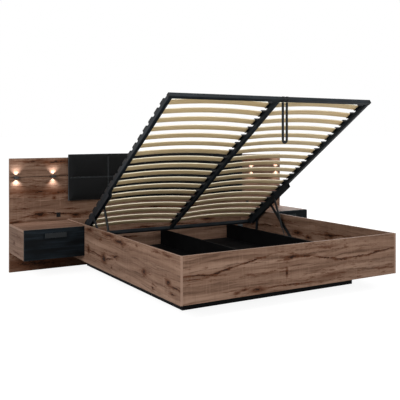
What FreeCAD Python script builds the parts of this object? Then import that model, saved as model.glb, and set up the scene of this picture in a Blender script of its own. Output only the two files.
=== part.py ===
import FreeCAD, Part
import math
import os

# Ottoman bed with a wide headboard, two floating bedside tables and a slat frame that lifts on gas struts.
# Millimetres and degrees. X runs across the bed, +Y towards the head, +Z up.
# The origin is on the floor, in the middle of the bed's outline. The slat frame is modelled lifted.

V = FreeCAD.Vector

# Bed box
BED_WIDTH = 1860.0
BED_LENGTH = 2060.0
BOX_TOP = 418.0
BOX_BOTTOM = 115.0
BOARD = 18.0
FOOT_RECESS = 1.5

# Plinth, storage floor and dividers
PLINTH_FOOT_SETBACK = 285.0
PLINTH_SIDE_SETBACK = 173.0
PLINTH_HEAD_SETBACK = 40.0
STORAGE_FLOOR = 10.0
DIVIDER_HEIGHT = 140.0

# Headboard and its upholstered pad
HEADBOARD_WIDTH = 2858.0
HEADBOARD_HEIGHT = 960.0
HEADBOARD_BOARD = 22.0
GROOVE_DROP = 160.0
GROOVE = 4.0
GROOVE_DEPTH = 6.0
PAD_SIDE_INSET = 5.0
PAD_HEIGHT = 410.0
PAD_RISE = 30.0
PAD_BOARD = 16.0
PAD_BOARD_MARGIN = 5.0
PAD_COLUMNS = 5
PAD_ROWS = 2
CUSHION_SEAM = 30.0
CUSHION_CROWN = 14.0
CUSHION_EDGE_CROWN = 3.0
CUSHION_DRAW_IN = 5.0
CUSHION_SECTION_SHARES = (0.0, 0.25, 0.5, 0.75, 1.0)

# Spotlights and cable outlets on the headboard wings
SPOT_OUTER_INSET = 55.0
SPOT_INNER_INSET = 125.0
SPOT_WIDTH = 40.0
SPOT_HEIGHT = 20.0
SPOT_DEPTH = 38.0
SPOT_CORNER = 10.0
SPOT_RIM = 3.0
SPOT_FLARE = 6.0
SPOT_RECESS = 6.0
SPOT_LENS = 2.0
OUTLET_INSET = 74.0
OUTLET_RISE = 52.0
OUTLET_WIDTH = 36.0
OUTLET_HEIGHT = 40.0
OUTLET_PLATE = 3.0
OUTLET_RIM = 4.0
OUTLET_PLUG = 14.0
OUTLET_SLOT_WIDTH = 14.0
OUTLET_SLOT_HEIGHT = 6.0
OUTLET_SLOT_DEPTH = 9.0
OUTLET_SLOT_PITCH = 13.0

# Bedside tables and drawers
TABLE_TOP = 410.0
TABLE_HEIGHT = 242.0
TABLE_DEPTH = 443.0
TABLE_GAP = 2.0
FRONT_BOARD = 18.0
FRONT_GAP = 2.0
FRONT_REVEAL = 1.5
DRAWER_SIDE = 12.0
DRAWER_BASE = 6.0
DRAWER_BASE_RAISE = 8.0
DRAWER_RAISE = 14.0
DRAWER_HEADROOM = 62.0
DRAWER_BACK_GAP = 50.0
RUNNER_WIDTH = 12.5
RUNNER_HEIGHT = 36.0
RUNNER_BACK_GAP = 73.0
RUNNER_WALL = 2.0
HANDLE_WIDTH = 176.0
HANDLE_HEIGHT = 38.0
HANDLE_PLATE = 4.0
HANDLE_STANDOFF = 22.0
HANDLE_DROP = 52.0
HANDLE_FOOT_WIDTH = 12.0
HANDLE_FOOT_HEIGHT = 26.0
HANDLE_FOOT_INSET = 6.0

# Slat frame: square steel tubes, bowed slats and their plastic holders
TUBE = 30.0
TUBE_WALL = 1.5
TUBE_CORNER = 3.0
FRAME_SIDE_GAP = 22.5
FRAME_END_GAP = 13.0
FRAME_DROP = 88.0
CAP_FLANGE = 2.5
SLAT_COUNT = 18
SLAT_WIDTH = 53.0
SLAT_THICKNESS = 8.0
SLAT_BOW = 25.0
FIRST_SLAT = 116.0
LAST_SLAT_SETBACK = 113.0
HOLDER_WALL = 4.5
HOLDER_FLOOR = 2.0
HOLDER_ROOM = 6.0
OUTER_HOLDER_WIDTH = 46.0
OUTER_HOLDER_INSET = 2.0
CENTRE_HOLDER_WIDTH = 68.0
OUTER_POCKET = 30.0
CENTRE_POCKET = 24.0
SLAT_END_GAP = 2.0

# Lift mechanism: two arms and a gas strut on each side
LIFT_ANGLE = 34.5
LIFT_SHIFT = 167.0
HEAD_BAR_CLEARANCE = 13.0
PIVOT_INSET = 18.0
FRONT_PIVOT_SETBACK = 406.0
REAR_PIVOT_SETBACK = 136.0
STRUT_PIVOT_SETBACK = 546.0
FRONT_GROUND_RISE = 55.0
REAR_GROUND_RISE = 40.0
STRUT_GROUND_RISE = 21.0
STRUT_GROUND_AHEAD = 28.0
CHANNEL_DEPTH = 30.0
CHANNEL_WALL = 3.0
CHANNEL_FOOT_SETBACK = 766.0
CHANNEL_HEAD_SETBACK = 50.0
ARM_WIDTH = 28.0
ARM_THICKNESS = 5.0
ARM_GAP = 5.0
PIN_RADIUS = 5.0
PIN_HEAD_RADIUS = 8.0
PIN_HEAD = 1.5
BOSS_RADIUS = 9.0
PLATE_THICKNESS = 4.0
PLATE_RISE = 4.0
PLATE_HEIGHT = 83.0
PLATE_MARGIN = 45.0
STRUT_INSET = 13.0
STRUT_RADIUS = 10.0
STRUT_NECK = 14.0
STRUT_NECK_RADIUS = 5.5
ROD_RADIUS = 4.0
ROD_END = 24.0
ROD_OVERLAP = 35.0
BORE_START = 30.0
EYE_RADIUS = 9.0
EYE_WIDTH = 12.0

# Pull strap on the foot rail
STRAP_X = 58.0
STRAP_LEG = 22.0
STRAP_LEG_GAP = 13.0
STRAP_LENGTH = 296.0
STRAP_THICKNESS = 3.0
STRAP_BAND = 2.0
STRAP_GAP = 0.5

# Brackets and fasteners
BRACKET_LEG = 40.0
BRACKET_THICKNESS = 3.0
BRACKET_RISE = 10.0
BRACKET_HEIGHT = 115.0
SCREW_HEAD_RADIUS = 5.5
SCREW_HEAD = 2.0
SCREW_EDGE_SHARE = 0.22
BOLT_HEAD_RADIUS = 6.5
BOLT_HEAD = 4.0
CHANNEL_BOLT_SHARES = (0.08, 0.5, 0.92)

# Clearances and the overrun of cutting shapes
PIN_CLEARANCE = 0.05
RUNNING_GAP = 0.3
OVERRUN = 5.0

# Places that follow from the sizes above
DEPTH = BED_LENGTH + HEADBOARD_BOARD
FOOT_Y = -DEPTH / 2
HEAD_Y = FOOT_Y + BED_LENGTH
BACK_Y = DEPTH / 2
HALF_BED = BED_WIDTH / 2
HALF_INSIDE = HALF_BED - BOARD
HALF_HEADBOARD = HEADBOARD_WIDTH / 2
FOOT_INSIDE_Y = FOOT_Y + FOOT_RECESS + BOARD
HEAD_INSIDE_Y = HEAD_Y - BOARD
FLOOR_TOP = BOX_BOTTOM + STORAGE_FLOOR
DIVIDER_TOP = FLOOR_TOP + DIVIDER_HEIGHT
DIVIDER_X = HALF_BED - PLINTH_SIDE_SETBACK - BOARD / 2
BRACKET_LOW = FLOOR_TOP + BRACKET_RISE
BRACKET_HIGH = BRACKET_LOW + BRACKET_HEIGHT

GROOVE_Z = HEADBOARD_HEIGHT - GROOVE_DROP
PAD_WIDTH = BED_WIDTH - 2 * PAD_SIDE_INSET
PAD_TOP = HEADBOARD_HEIGHT + PAD_RISE
PAD_BOTTOM = PAD_TOP - PAD_HEIGHT
SPOT_OUTER_X = HALF_HEADBOARD - SPOT_OUTER_INSET
SPOT_INNER_X = HALF_BED + SPOT_INNER_INSET
SPOT_MOUTH_RADIUS = SPOT_DEPTH / 2 - SPOT_RIM
SPOT_LENS_RADIUS = SPOT_MOUTH_RADIUS - SPOT_FLARE
OUTLET_X = HALF_BED + OUTLET_INSET
OUTLET_Z = TABLE_TOP + OUTLET_RISE

RAIL_OUT = HALF_INSIDE - FRAME_SIDE_GAP
RAIL_IN = RAIL_OUT - TUBE
FRAME_LENGTH = HEAD_INSIDE_Y - FOOT_INSIDE_Y - 2 * FRAME_END_GAP
ARM_X = RAIL_OUT + ARM_GAP
STRUT_X = RAIL_IN - STRUT_INSET
PLATE_X = HALF_INSIDE - PLATE_THICKNESS
PLATE_LOW = FLOOR_TOP + PLATE_RISE
PLATE_HIGH = PLATE_LOW + PLATE_HEIGHT
PIVOT_DROP = TUBE + PIVOT_INSET

SIDES = (("left", -1), ("right", 1))


# Points in the Y-Z plane that the lift mechanism turns on

def on_frame(foot, angle, run, rise):
    """Point of the slat frame, run from its foot end and rise above its mattress side."""
    turn = math.radians(angle)
    y = foot[0] + run * math.cos(turn) + rise * math.sin(turn)
    z = foot[1] - run * math.sin(turn) + rise * math.cos(turn)
    return (y, z)


def ground_pivot(lifted, lowered, height):
    """Fixed pivot at this height, equally far from an arm's lifted and lowered end."""
    middle = ((lifted[0] + lowered[0]) / 2, (lifted[1] + lowered[1]) / 2)
    travel = (lifted[0] - lowered[0], lifted[1] - lowered[1])
    along = (height - middle[1]) / travel[0]
    return (middle[0] - along * travel[1], height)


def reach(start, end):
    return math.hypot(end[0] - start[0], end[1] - start[1])


def bearing(start, end):
    return math.degrees(math.atan2(end[1] - start[1], end[0] - start[0]))


LOWERED_FOOT = (FOOT_INSIDE_Y + FRAME_END_GAP, BOX_TOP - FRAME_DROP)
LIFTED_HEAD = (
    HEAD_INSIDE_Y - LIFT_SHIFT,
    DIVIDER_TOP + HEAD_BAR_CLEARANCE + TUBE * math.cos(math.radians(LIFT_ANGLE)),
)
LIFTED_FOOT = on_frame(LIFTED_HEAD, LIFT_ANGLE, -FRAME_LENGTH, 0)


def pivot_pair(setback):
    """A pivot on the lift channel, with the frame lifted and lowered."""
    run = FRAME_LENGTH - setback
    lifted = on_frame(LIFTED_FOOT, LIFT_ANGLE, run, -PIVOT_DROP)
    lowered = on_frame(LOWERED_FOOT, 0, run, -PIVOT_DROP)
    return lifted, lowered


FRONT_PIVOT, FRONT_LOWERED = pivot_pair(FRONT_PIVOT_SETBACK)
REAR_PIVOT, REAR_LOWERED = pivot_pair(REAR_PIVOT_SETBACK)
STRUT_PIVOT, STRUT_LOWERED = pivot_pair(STRUT_PIVOT_SETBACK)
FRONT_GROUND = ground_pivot(FRONT_PIVOT, FRONT_LOWERED, FLOOR_TOP + FRONT_GROUND_RISE)
REAR_GROUND = ground_pivot(REAR_PIVOT, REAR_LOWERED, FLOOR_TOP + REAR_GROUND_RISE)
STRUT_GROUND = (FRONT_GROUND[0] + STRUT_GROUND_AHEAD, FLOOR_TOP + STRUT_GROUND_RISE)

STRAP_RUN = TUBE - TUBE_CORNER
STRAP_PIVOT = on_frame(LIFTED_FOOT, LIFT_ANGLE, STRAP_RUN, -STRAP_RUN)
STRAP_TOP = STRAP_PIVOT[1] - TUBE_CORNER - STRAP_BAND - STRAP_GAP


# Basic shapes

def slab(x, y, z):
    """Box between pairs of coordinates, in either order."""
    low = V(min(x), min(y), min(z))
    return Part.makeBox(max(x) - low.x, max(y) - low.y, max(z) - low.z, low)


def rod_x(radius, x, y, z):
    """Round bar along X between two places."""
    return Part.makeCylinder(radius, max(x) - min(x), V(min(x), y, z), V(1, 0, 0))


def fuse(shapes):
    whole = shapes[0].multiFuse(shapes[1:])
    return whole.removeSplitter()


def outline(points):
    """Closed wire: a point alone ends a line, a pair of points is an arc's middle and end."""
    edges = []
    start = points[-1] if not isinstance(points[-1], tuple) else points[-1][1]
    for step in points:
        if isinstance(step, tuple):
            edges.append(Part.Arc(start, step[0], step[1]).toShape())
            start = step[1]
        else:
            edges.append(Part.LineSegment(start, step).toShape())
            start = step
    return Part.Wire(edges)


def lifted(shape):
    """Turns a piece made flat, with its foot end at the origin, into the lifted frame."""
    placed = shape.copy()
    placed.rotate(V(0, 0, 0), V(1, 0, 0), -LIFT_ANGLE)
    placed.translate(V(0, LIFTED_FOOT[0], LIFTED_FOOT[1]))
    return placed


def aimed(shape, start, end):
    """Turns a piece made along +Y from the origin so that it runs from one pivot to another."""
    placed = shape.copy()
    placed.rotate(V(0, 0, 0), V(1, 0, 0), bearing(start, end))
    placed.translate(V(0, start[0], start[1]))
    return placed


# Bed box

def bed_box():
    height = (BOX_BOTTOM, BOX_TOP)
    length = (FOOT_Y, HEAD_Y)
    inside = (-HALF_INSIDE, HALF_INSIDE)
    foot = (FOOT_Y + FOOT_RECESS, FOOT_INSIDE_Y)
    return {
        "side_panel_left": [slab((-HALF_BED, -HALF_INSIDE), length, height)],
        "side_panel_right": [slab((HALF_INSIDE, HALF_BED), length, height)],
        "foot_panel": [slab(inside, foot, height)],
        "head_panel": [slab(inside, (HEAD_INSIDE_Y, HEAD_Y), height)],
    }


def board_across(x):
    return (x - BOARD / 2, x + BOARD / 2)


def plinth_and_storage():
    upright = (0, BOX_BOTTOM)
    foot_face = FOOT_Y + PLINTH_FOOT_SETBACK
    head_face = HEAD_Y - PLINTH_HEAD_SETBACK
    between = (foot_face + BOARD, head_face - BOARD)
    across = (-DIVIDER_X - BOARD / 2, DIVIDER_X + BOARD / 2)
    inside = (FOOT_INSIDE_Y, HEAD_INSIDE_Y)
    base = (BOX_BOTTOM, FLOOR_TOP)
    divider = (FLOOR_TOP, DIVIDER_TOP)
    nodes = {
        "plinth_foot": [slab(across, (foot_face, foot_face + BOARD), upright)],
        "plinth_head": [slab(across, (head_face - BOARD, head_face), upright)],
        "plinth_runners": [slab(board_across(x), between, upright) for x in (-DIVIDER_X, 0, DIVIDER_X)],
        "storage_floor_left": [slab((-HALF_INSIDE, 0), inside, base)],
        "storage_floor_right": [slab((0, HALF_INSIDE), inside, base)],
    }
    for name, x in (("left", -DIVIDER_X), ("centre", 0), ("right", DIVIDER_X)):
        nodes["divider_" + name] = [slab(board_across(x), inside, divider)]
    return nodes


def corner_brackets():
    """Steel angles in the four inner corners, with two screws in each leg."""
    brackets = []
    screws = []
    height = (BRACKET_LOW, BRACKET_HIGH)
    tall = BRACKET_HIGH - BRACKET_LOW
    screw_heights = (BRACKET_LOW + SCREW_EDGE_SHARE * tall, BRACKET_HIGH - SCREW_EDGE_SHARE * tall)
    for _, sign in SIDES:
        for face, inward in ((FOOT_INSIDE_Y, 1), (HEAD_INSIDE_Y, -1)):
            wall = sign * HALF_INSIDE
            leg_x = wall - sign * BRACKET_LEG
            leg_y = face + inward * BRACKET_LEG
            skin_x = wall - sign * BRACKET_THICKNESS
            skin_y = face + inward * BRACKET_THICKNESS
            along_side = slab((wall, skin_x), (face, leg_y), height)
            along_end = slab((wall, leg_x), (face, skin_y), height)
            brackets.append(fuse([along_side, along_end]))
            for z in screw_heights:
                middle_y = (skin_y + leg_y) / 2
                middle_x = (skin_x + leg_x) / 2
                screws.append(rod_x(SCREW_HEAD_RADIUS, (skin_x, skin_x - sign * SCREW_HEAD), middle_y, z))
                screws.append(Part.makeCylinder(
                    SCREW_HEAD_RADIUS, SCREW_HEAD, V(middle_x, skin_y, z), V(0, inward, 0)))
    return brackets, screws


# Headboard

def headboard():
    thick = (HEAD_Y, BACK_Y)
    nodes = {"headboard_centre": [slab((-HALF_BED, HALF_BED), thick, (0, HEADBOARD_HEIGHT))]}
    groove_y = (HEAD_Y - OVERRUN, HEAD_Y + GROOVE_DEPTH)
    groove_z = (GROOVE_Z - GROOVE / 2, GROOVE_Z + GROOVE / 2)
    hole_x = OUTLET_WIDTH / 2 - OUTLET_RIM + RUNNING_GAP
    hole_z = OUTLET_HEIGHT / 2 - OUTLET_RIM + RUNNING_GAP
    for side, sign in SIDES:
        across = (sign * HALF_BED, sign * HALF_HEADBOARD)
        wing = slab(across, thick, (0, HEADBOARD_HEIGHT))
        groove = slab((sign * (HALF_BED - OVERRUN), sign * (HALF_HEADBOARD + OVERRUN)), groove_y, groove_z)
        hole = slab(
            (sign * OUTLET_X - hole_x, sign * OUTLET_X + hole_x),
            (HEAD_Y - OVERRUN, BACK_Y + OVERRUN),
            (OUTLET_Z - hole_z, OUTLET_Z + hole_z),
        )
        nodes["headboard_wing_" + side] = [wing.cut(groove).cut(hole)]
    return nodes


def cushion_tile(left, right, low, high, draw_left, draw_right):
    """One sewn field: crowned in front, with its outer side drawn in between the corners."""
    back = HEAD_Y - PAD_BOARD
    seam = back - CUSHION_SEAM
    pad_middle = (PAD_BOTTOM + PAD_TOP) / 2
    pad_half = (PAD_TOP - PAD_BOTTOM) / 2
    sections = []
    for share in CUSHION_SECTION_SHARES:
        z = low + share * (high - low)
        swell = 4 * share * (1 - share)
        crown = CUSHION_EDGE_CROWN + (CUSHION_CROWN - CUSHION_EDGE_CROWN) * swell
        pull = CUSHION_DRAW_IN * (1 - ((z - pad_middle) / pad_half) ** 2)
        x0 = left + pull * draw_left
        x1 = right - pull * draw_right
        front_middle = V((x0 + x1) / 2, seam - crown, z)
        sections.append(outline([
            V(x1, back, z), V(x0, back, z), V(x0, seam, z), (front_middle, V(x1, seam, z))]))
    return Part.makeLoft(sections, True, False)


def headboard_pad():
    half = PAD_WIDTH / 2
    field_width = PAD_WIDTH / PAD_COLUMNS
    field_height = (PAD_TOP - PAD_BOTTOM) / PAD_ROWS
    tiles = []
    for column in range(PAD_COLUMNS):
        left = -half + column * field_width
        for row in range(PAD_ROWS):
            low = PAD_BOTTOM + row * field_height
            draw_left = 1 if column == 0 else 0
            draw_right = 1 if column == PAD_COLUMNS - 1 else 0
            tiles.append(cushion_tile(
                left, left + field_width, low, low + field_height, draw_left, draw_right))
    board_half = half - PAD_BOARD_MARGIN - CUSHION_DRAW_IN
    board = slab(
        (-board_half, board_half),
        (HEAD_Y - PAD_BOARD, HEAD_Y),
        (PAD_BOTTOM + PAD_BOARD_MARGIN, PAD_TOP - PAD_BOARD_MARGIN),
    )
    return {"pad_board": [board], "headboard_cushion": [fuse(tiles)]}


def spotlight(x):
    """Small block with a flared mouth above and below, and a lens in each mouth."""
    half_height = SPOT_HEIGHT / 2
    body = slab(
        (x - SPOT_WIDTH / 2, x + SPOT_WIDTH / 2),
        (HEAD_Y - SPOT_DEPTH, HEAD_Y),
        (GROOVE_Z - half_height, GROOVE_Z + half_height),
    )
    front_edges = [
        edge for edge in body.Edges
        if edge.Length < SPOT_HEIGHT + OVERRUN
        and abs(edge.CenterOfMass.y - (HEAD_Y - SPOT_DEPTH)) < OVERRUN
        and abs(edge.CenterOfMass.z - GROOVE_Z) < half_height / 2
    ]
    body = body.makeFillet(SPOT_CORNER, front_edges)
    y = HEAD_Y - SPOT_DEPTH / 2
    lenses = []
    for way in (-1, 1):
        bottom = V(x, y, GROOVE_Z + way * (half_height - SPOT_RECESS))
        mouth = Part.makeCone(SPOT_LENS_RADIUS, SPOT_MOUTH_RADIUS, SPOT_RECESS, bottom, V(0, 0, way))
        body = body.cut(mouth)
        lenses.append(Part.makeCylinder(SPOT_LENS_RADIUS, SPOT_LENS, bottom, V(0, 0, way)))
    return body, lenses


def wing_fittings():
    bodies = []
    lenses = []
    outlets = []
    for _, sign in SIDES:
        for x in (sign * SPOT_OUTER_X, sign * SPOT_INNER_X):
            body, pair = spotlight(x)
            bodies.append(body)
            lenses.extend(pair)
        outlets.append(cable_outlet(sign * OUTLET_X))
    return {"spotlights": bodies, "spotlight_lenses": lenses, "cable_outlets": outlets}


def cable_outlet(x):
    """Square plate with a plug that sits in the wing's cut-out, and two slots in its face."""
    half_x = OUTLET_WIDTH / 2
    half_z = OUTLET_HEIGHT / 2
    face = HEAD_Y - OUTLET_PLATE
    plate = slab(
        (x - half_x, x + half_x), (face, HEAD_Y), (OUTLET_Z - half_z, OUTLET_Z + half_z))
    plug_x = half_x - OUTLET_RIM
    plug_z = half_z - OUTLET_RIM
    plug = slab(
        (x - plug_x, x + plug_x), (HEAD_Y, HEAD_Y + OUTLET_PLUG),
        (OUTLET_Z - plug_z, OUTLET_Z + plug_z))
    outlet = fuse([plate, plug])
    for way in (-1, 1):
        z = OUTLET_Z + way * OUTLET_SLOT_PITCH / 2
        slot = slab(
            (x - OUTLET_SLOT_WIDTH / 2, x + OUTLET_SLOT_WIDTH / 2),
            (face - OVERRUN, face + OUTLET_SLOT_DEPTH),
            (z - OUTLET_SLOT_HEIGHT / 2, z + OUTLET_SLOT_HEIGHT / 2),
        )
        outlet = outlet.cut(slot)
    return outlet


# Bedside tables with one drawer each

TABLE_BOTTOM = TABLE_TOP - TABLE_HEIGHT
TABLE_INNER = HALF_BED + TABLE_GAP
TABLE_FRONT_Y = HEAD_Y - TABLE_DEPTH
CARCASS_FRONT_Y = TABLE_FRONT_Y + FRONT_BOARD + FRONT_GAP
DRAWER_INNER = TABLE_INNER + BOARD + RUNNER_WIDTH
DRAWER_OUTER = HALF_HEADBOARD - BOARD - RUNNER_WIDTH
DRAWER_FLOOR = TABLE_BOTTOM + BOARD + DRAWER_RAISE
DRAWER_HEIGHT = TABLE_TOP - BOARD - DRAWER_HEADROOM - DRAWER_FLOOR
DRAWER_LENGTH = TABLE_DEPTH - FRONT_BOARD - DRAWER_BACK_GAP
RUNNER_LENGTH = HEAD_Y - CARCASS_FRONT_Y - RUNNER_BACK_GAP
RUNNER_Z = DRAWER_FLOOR + DRAWER_HEIGHT / 2


def bedside_table(side, sign):
    depth = (CARCASS_FRONT_Y, HEAD_Y)
    inner = sign * TABLE_INNER
    outer = sign * HALF_HEADBOARD
    skin = sign * BOARD
    under_top = TABLE_TOP - BOARD
    sides = [
        slab((inner, inner + skin), depth, (TABLE_BOTTOM, under_top)),
        slab((outer - skin, outer), depth, (TABLE_BOTTOM, under_top)),
    ]
    base = slab((inner + skin, outer - skin), depth, (TABLE_BOTTOM, TABLE_BOTTOM + BOARD))
    runners = []
    for wall, inward in ((inner + skin, sign), (outer - skin, -sign)):
        runners.append(runner_channel(wall, inward))
    return {
        "table_top_" + side: [slab((inner, outer), depth, (under_top, TABLE_TOP))],
        "table_sides_" + side: sides,
        "table_base_" + side: [base],
        "drawer_runners_" + side: runners,
    }


def runner_channel(wall, inward):
    """Steel channel on the carcass side, open towards the drawer."""
    length = (CARCASS_FRONT_Y, CARCASS_FRONT_Y + RUNNER_LENGTH)
    half = RUNNER_HEIGHT / 2
    mouth = wall + inward * (RUNNER_WIDTH - RUNNING_GAP)
    channel = slab((wall, mouth), length, (RUNNER_Z - half, RUNNER_Z + half))
    hollow = slab(
        (wall + inward * RUNNER_WALL, mouth + inward * OVERRUN),
        (length[0] - OVERRUN, length[1] + OVERRUN),
        (RUNNER_Z - half + RUNNER_WALL, RUNNER_Z + half - RUNNER_WALL),
    )
    return channel.cut(hollow)


def drawer_rail(box_side, outward):
    """Steel rail on the drawer side that runs inside the carcass channel."""
    half = RUNNER_HEIGHT / 2 - RUNNER_WALL - RUNNING_GAP
    tip = box_side + outward * (RUNNER_WIDTH - RUNNER_WALL - RUNNING_GAP)
    length = (CARCASS_FRONT_Y, CARCASS_FRONT_Y + RUNNER_LENGTH)
    return slab((box_side, tip), length, (RUNNER_Z - half, RUNNER_Z + half))


def drawer(side, sign):
    front_y = (TABLE_FRONT_Y, TABLE_FRONT_Y + FRONT_BOARD)
    front = slab(
        (sign * TABLE_INNER, sign * HALF_HEADBOARD), front_y, (TABLE_BOTTOM, TABLE_TOP - FRONT_REVEAL))
    box_y = (front_y[1], front_y[1] + DRAWER_LENGTH)
    box_z = (DRAWER_FLOOR, DRAWER_FLOOR + DRAWER_HEIGHT)
    inner = sign * DRAWER_INNER
    outer = sign * DRAWER_OUTER
    skin = sign * DRAWER_SIDE
    clear_x = (inner + skin, outer - skin)
    back_y = (box_y[1] - DRAWER_SIDE, box_y[1])
    base_z = DRAWER_FLOOR + DRAWER_BASE_RAISE
    box = [
        slab((inner, inner + skin), box_y, box_z),
        slab((outer - skin, outer), box_y, box_z),
        slab(clear_x, back_y, box_z),
        slab(clear_x, (box_y[0], back_y[0]), (base_z, base_z + DRAWER_BASE)),
    ]
    rails = [drawer_rail(inner, -sign), drawer_rail(outer, sign)]
    return {
        "drawer_front_" + side: [front],
        "drawer_box_" + side: box,
        "drawer_rails_" + side: rails,
        "drawer_handle_" + side: [handle(sign)],
    }


def handle(sign):
    """Wide flat pull plate on two feet."""
    middle = sign * (TABLE_INNER + HALF_HEADBOARD) / 2
    height = TABLE_TOP - HANDLE_DROP
    half = HANDLE_WIDTH / 2
    back = TABLE_FRONT_Y - HANDLE_STANDOFF
    plate = slab(
        (middle - half, middle + half), (back - HANDLE_PLATE, back),
        (height - HANDLE_HEIGHT / 2, height + HANDLE_HEIGHT / 2))
    pieces = [plate]
    for way in (-1, 1):
        tip = middle + way * (half - HANDLE_FOOT_INSET)
        pieces.append(slab(
            (tip, tip - way * HANDLE_FOOT_WIDTH), (back, TABLE_FRONT_Y),
            (height - HANDLE_FOOT_HEIGHT / 2, height + HANDLE_FOOT_HEIGHT / 2)))
    return fuse(pieces)


# Slat frame, made flat and then lifted

def runs_along(edge, axis):
    """Whether an edge runs along an axis, 0 for X and 1 for Y."""
    box = edge.BoundBox
    spans = (box.XLength, box.YLength, box.ZLength)
    return spans[axis] == max(spans)


def rounded_bar(x, y, z, corner, axis):
    """Box with the four edges along one axis rounded."""
    bar = slab(x, y, z)
    return bar.makeFillet(corner, [edge for edge in bar.Edges if runs_along(edge, axis)])


def grown(span, more):
    return (min(span) - more, max(span) + more)


def tube(x, y, axis):
    """Square tube with rounded long edges and its top at Z = 0."""
    outer = (x, y, (-TUBE, 0))
    inner = [grown(span, OVERRUN if place == axis else -TUBE_WALL) for place, span in enumerate(outer)]
    return rounded_bar(*outer, TUBE_CORNER, axis).cut(rounded_bar(*inner, TUBE_CORNER - TUBE_WALL, axis))


def end_cap(sign, y):
    """Plastic plug in the open end of a cross tube."""
    fit = TUBE_WALL + RUNNING_GAP
    end = sign * RAIL_OUT
    z = (-TUBE, 0)
    flange = rounded_bar((end, end + sign * CAP_FLANGE), y, z, TUBE_CORNER, 0)
    plug = rounded_bar((end, end - sign * TUBE), grown(y, -fit), grown(z, -fit), TUBE_CORNER - fit, 0)
    return fuse([flange, plug])


def frame_tubes():
    foot = (0, TUBE)
    head = (FRAME_LENGTH - TUBE, FRAME_LENGTH)
    across = (-RAIL_OUT, RAIL_OUT)
    between = (TUBE, FRAME_LENGTH - TUBE)
    caps = [end_cap(sign, y) for _, sign in SIDES for y in (foot, head)]
    return {
        "rail_foot": [tube(across, foot, 0)],
        "rail_head": [tube(across, head, 0)],
        "rail_left": [tube((-RAIL_OUT, -RAIL_IN), between, 1)],
        "rail_right": [tube((RAIL_IN, RAIL_OUT), between, 1)],
        "centre_bar": [tube((-TUBE / 2, TUBE / 2), between, 1)],
        "rail_end_caps": caps,
    }


def slat_places():
    pitch = (FRAME_LENGTH - FIRST_SLAT - LAST_SLAT_SETBACK) / (SLAT_COUNT - 1)
    return [FIRST_SLAT + number * pitch for number in range(SLAT_COUNT)]


HOLDER_LENGTH = SLAT_WIDTH + 2 * HOLDER_WALL
HOLDER_HEIGHT = SLAT_THICKNESS + 2 * HOLDER_FLOOR + HOLDER_ROOM
HOLDER_OUT = RAIL_OUT - OUTER_HOLDER_INSET
HOLDER_IN = HOLDER_OUT - OUTER_HOLDER_WIDTH
SLAT_OUTER_END = HOLDER_IN + OUTER_POCKET - SLAT_END_GAP
SLAT_INNER_END = CENTRE_HOLDER_WIDTH / 2 - CENTRE_POCKET + SLAT_END_GAP
SLAT_SEAT = HOLDER_FLOOR + RUNNING_GAP


def slat(sign, place):
    """Bowed slat between the centre bar and one side rail, arched towards the mattress."""
    inner = sign * SLAT_INNER_END
    outer = sign * SLAT_OUTER_END
    middle = (inner + outer) / 2
    start = place - SLAT_WIDTH / 2
    top = SLAT_SEAT + SLAT_THICKNESS
    wire = outline([
        (V(middle, start, SLAT_SEAT + SLAT_BOW), V(outer, start, SLAT_SEAT)),
        V(outer, start, top),
        (V(middle, start, top + SLAT_BOW), V(inner, start, top)),
        V(inner, start, SLAT_SEAT),
    ])
    return Part.Face(wire).extrude(V(0, SLAT_WIDTH, 0))


def holder_block(x, place, pockets):
    """Plastic holder on a tube, with a pocket for each slat end that it carries."""
    half = HOLDER_LENGTH / 2
    block = slab(x, (place - half, place + half), (0, HOLDER_HEIGHT))
    for pocket in pockets:
        gap = SLAT_WIDTH / 2 + RUNNING_GAP
        block = block.cut(slab(
            pocket, (place - gap, place + gap), (HOLDER_FLOOR, HOLDER_HEIGHT - HOLDER_FLOOR)))
    return block


def slats_and_holders():
    nodes = {"slats_left": [], "slats_right": [], "slat_holders_outer": [], "slat_holders_centre": []}
    half_centre = CENTRE_HOLDER_WIDTH / 2
    deep = half_centre - CENTRE_POCKET
    for place in slat_places():
        for side, sign in SIDES:
            nodes["slats_" + side].append(slat(sign, place))
            pocket = (sign * (HOLDER_IN - OVERRUN), sign * (HOLDER_IN + OUTER_POCKET))
            nodes["slat_holders_outer"].append(
                holder_block((sign * HOLDER_IN, sign * HOLDER_OUT), place, [pocket]))
        pockets = [(sign * deep, sign * (half_centre + OVERRUN)) for _, sign in SIDES]
        nodes["slat_holders_centre"].append(holder_block((-half_centre, half_centre), place, pockets))
    return nodes


def lift_channel(sign):
    """Channel under a side rail that carries the front arm's pivot pin on its outer side."""
    outer = sign * RAIL_OUT
    inner = sign * RAIL_IN
    skin = sign * CHANNEL_WALL
    length = (FRAME_LENGTH - CHANNEL_FOOT_SETBACK, FRAME_LENGTH - CHANNEL_HEAD_SETBACK)
    low = -TUBE - CHANNEL_DEPTH
    body = slab((inner, outer), length, (low, -TUBE))
    hollow = slab(
        (inner + skin, outer - skin),
        (length[0] - OVERRUN, length[1] + OVERRUN), (low - OVERRUN, -TUBE - CHANNEL_WALL))
    run = FRAME_LENGTH - FRONT_PIVOT_SETBACK
    pin_end = sign * (ARM_X + ARM_THICKNESS + RUNNING_GAP)
    pin = rod_x(PIN_RADIUS, (outer - skin, pin_end), run, -PIVOT_DROP)
    head = rod_x(PIN_HEAD_RADIUS, (pin_end, pin_end + sign * PIN_HEAD), run, -PIVOT_DROP)
    return fuse([body.cut(hollow), pin, head])


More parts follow.
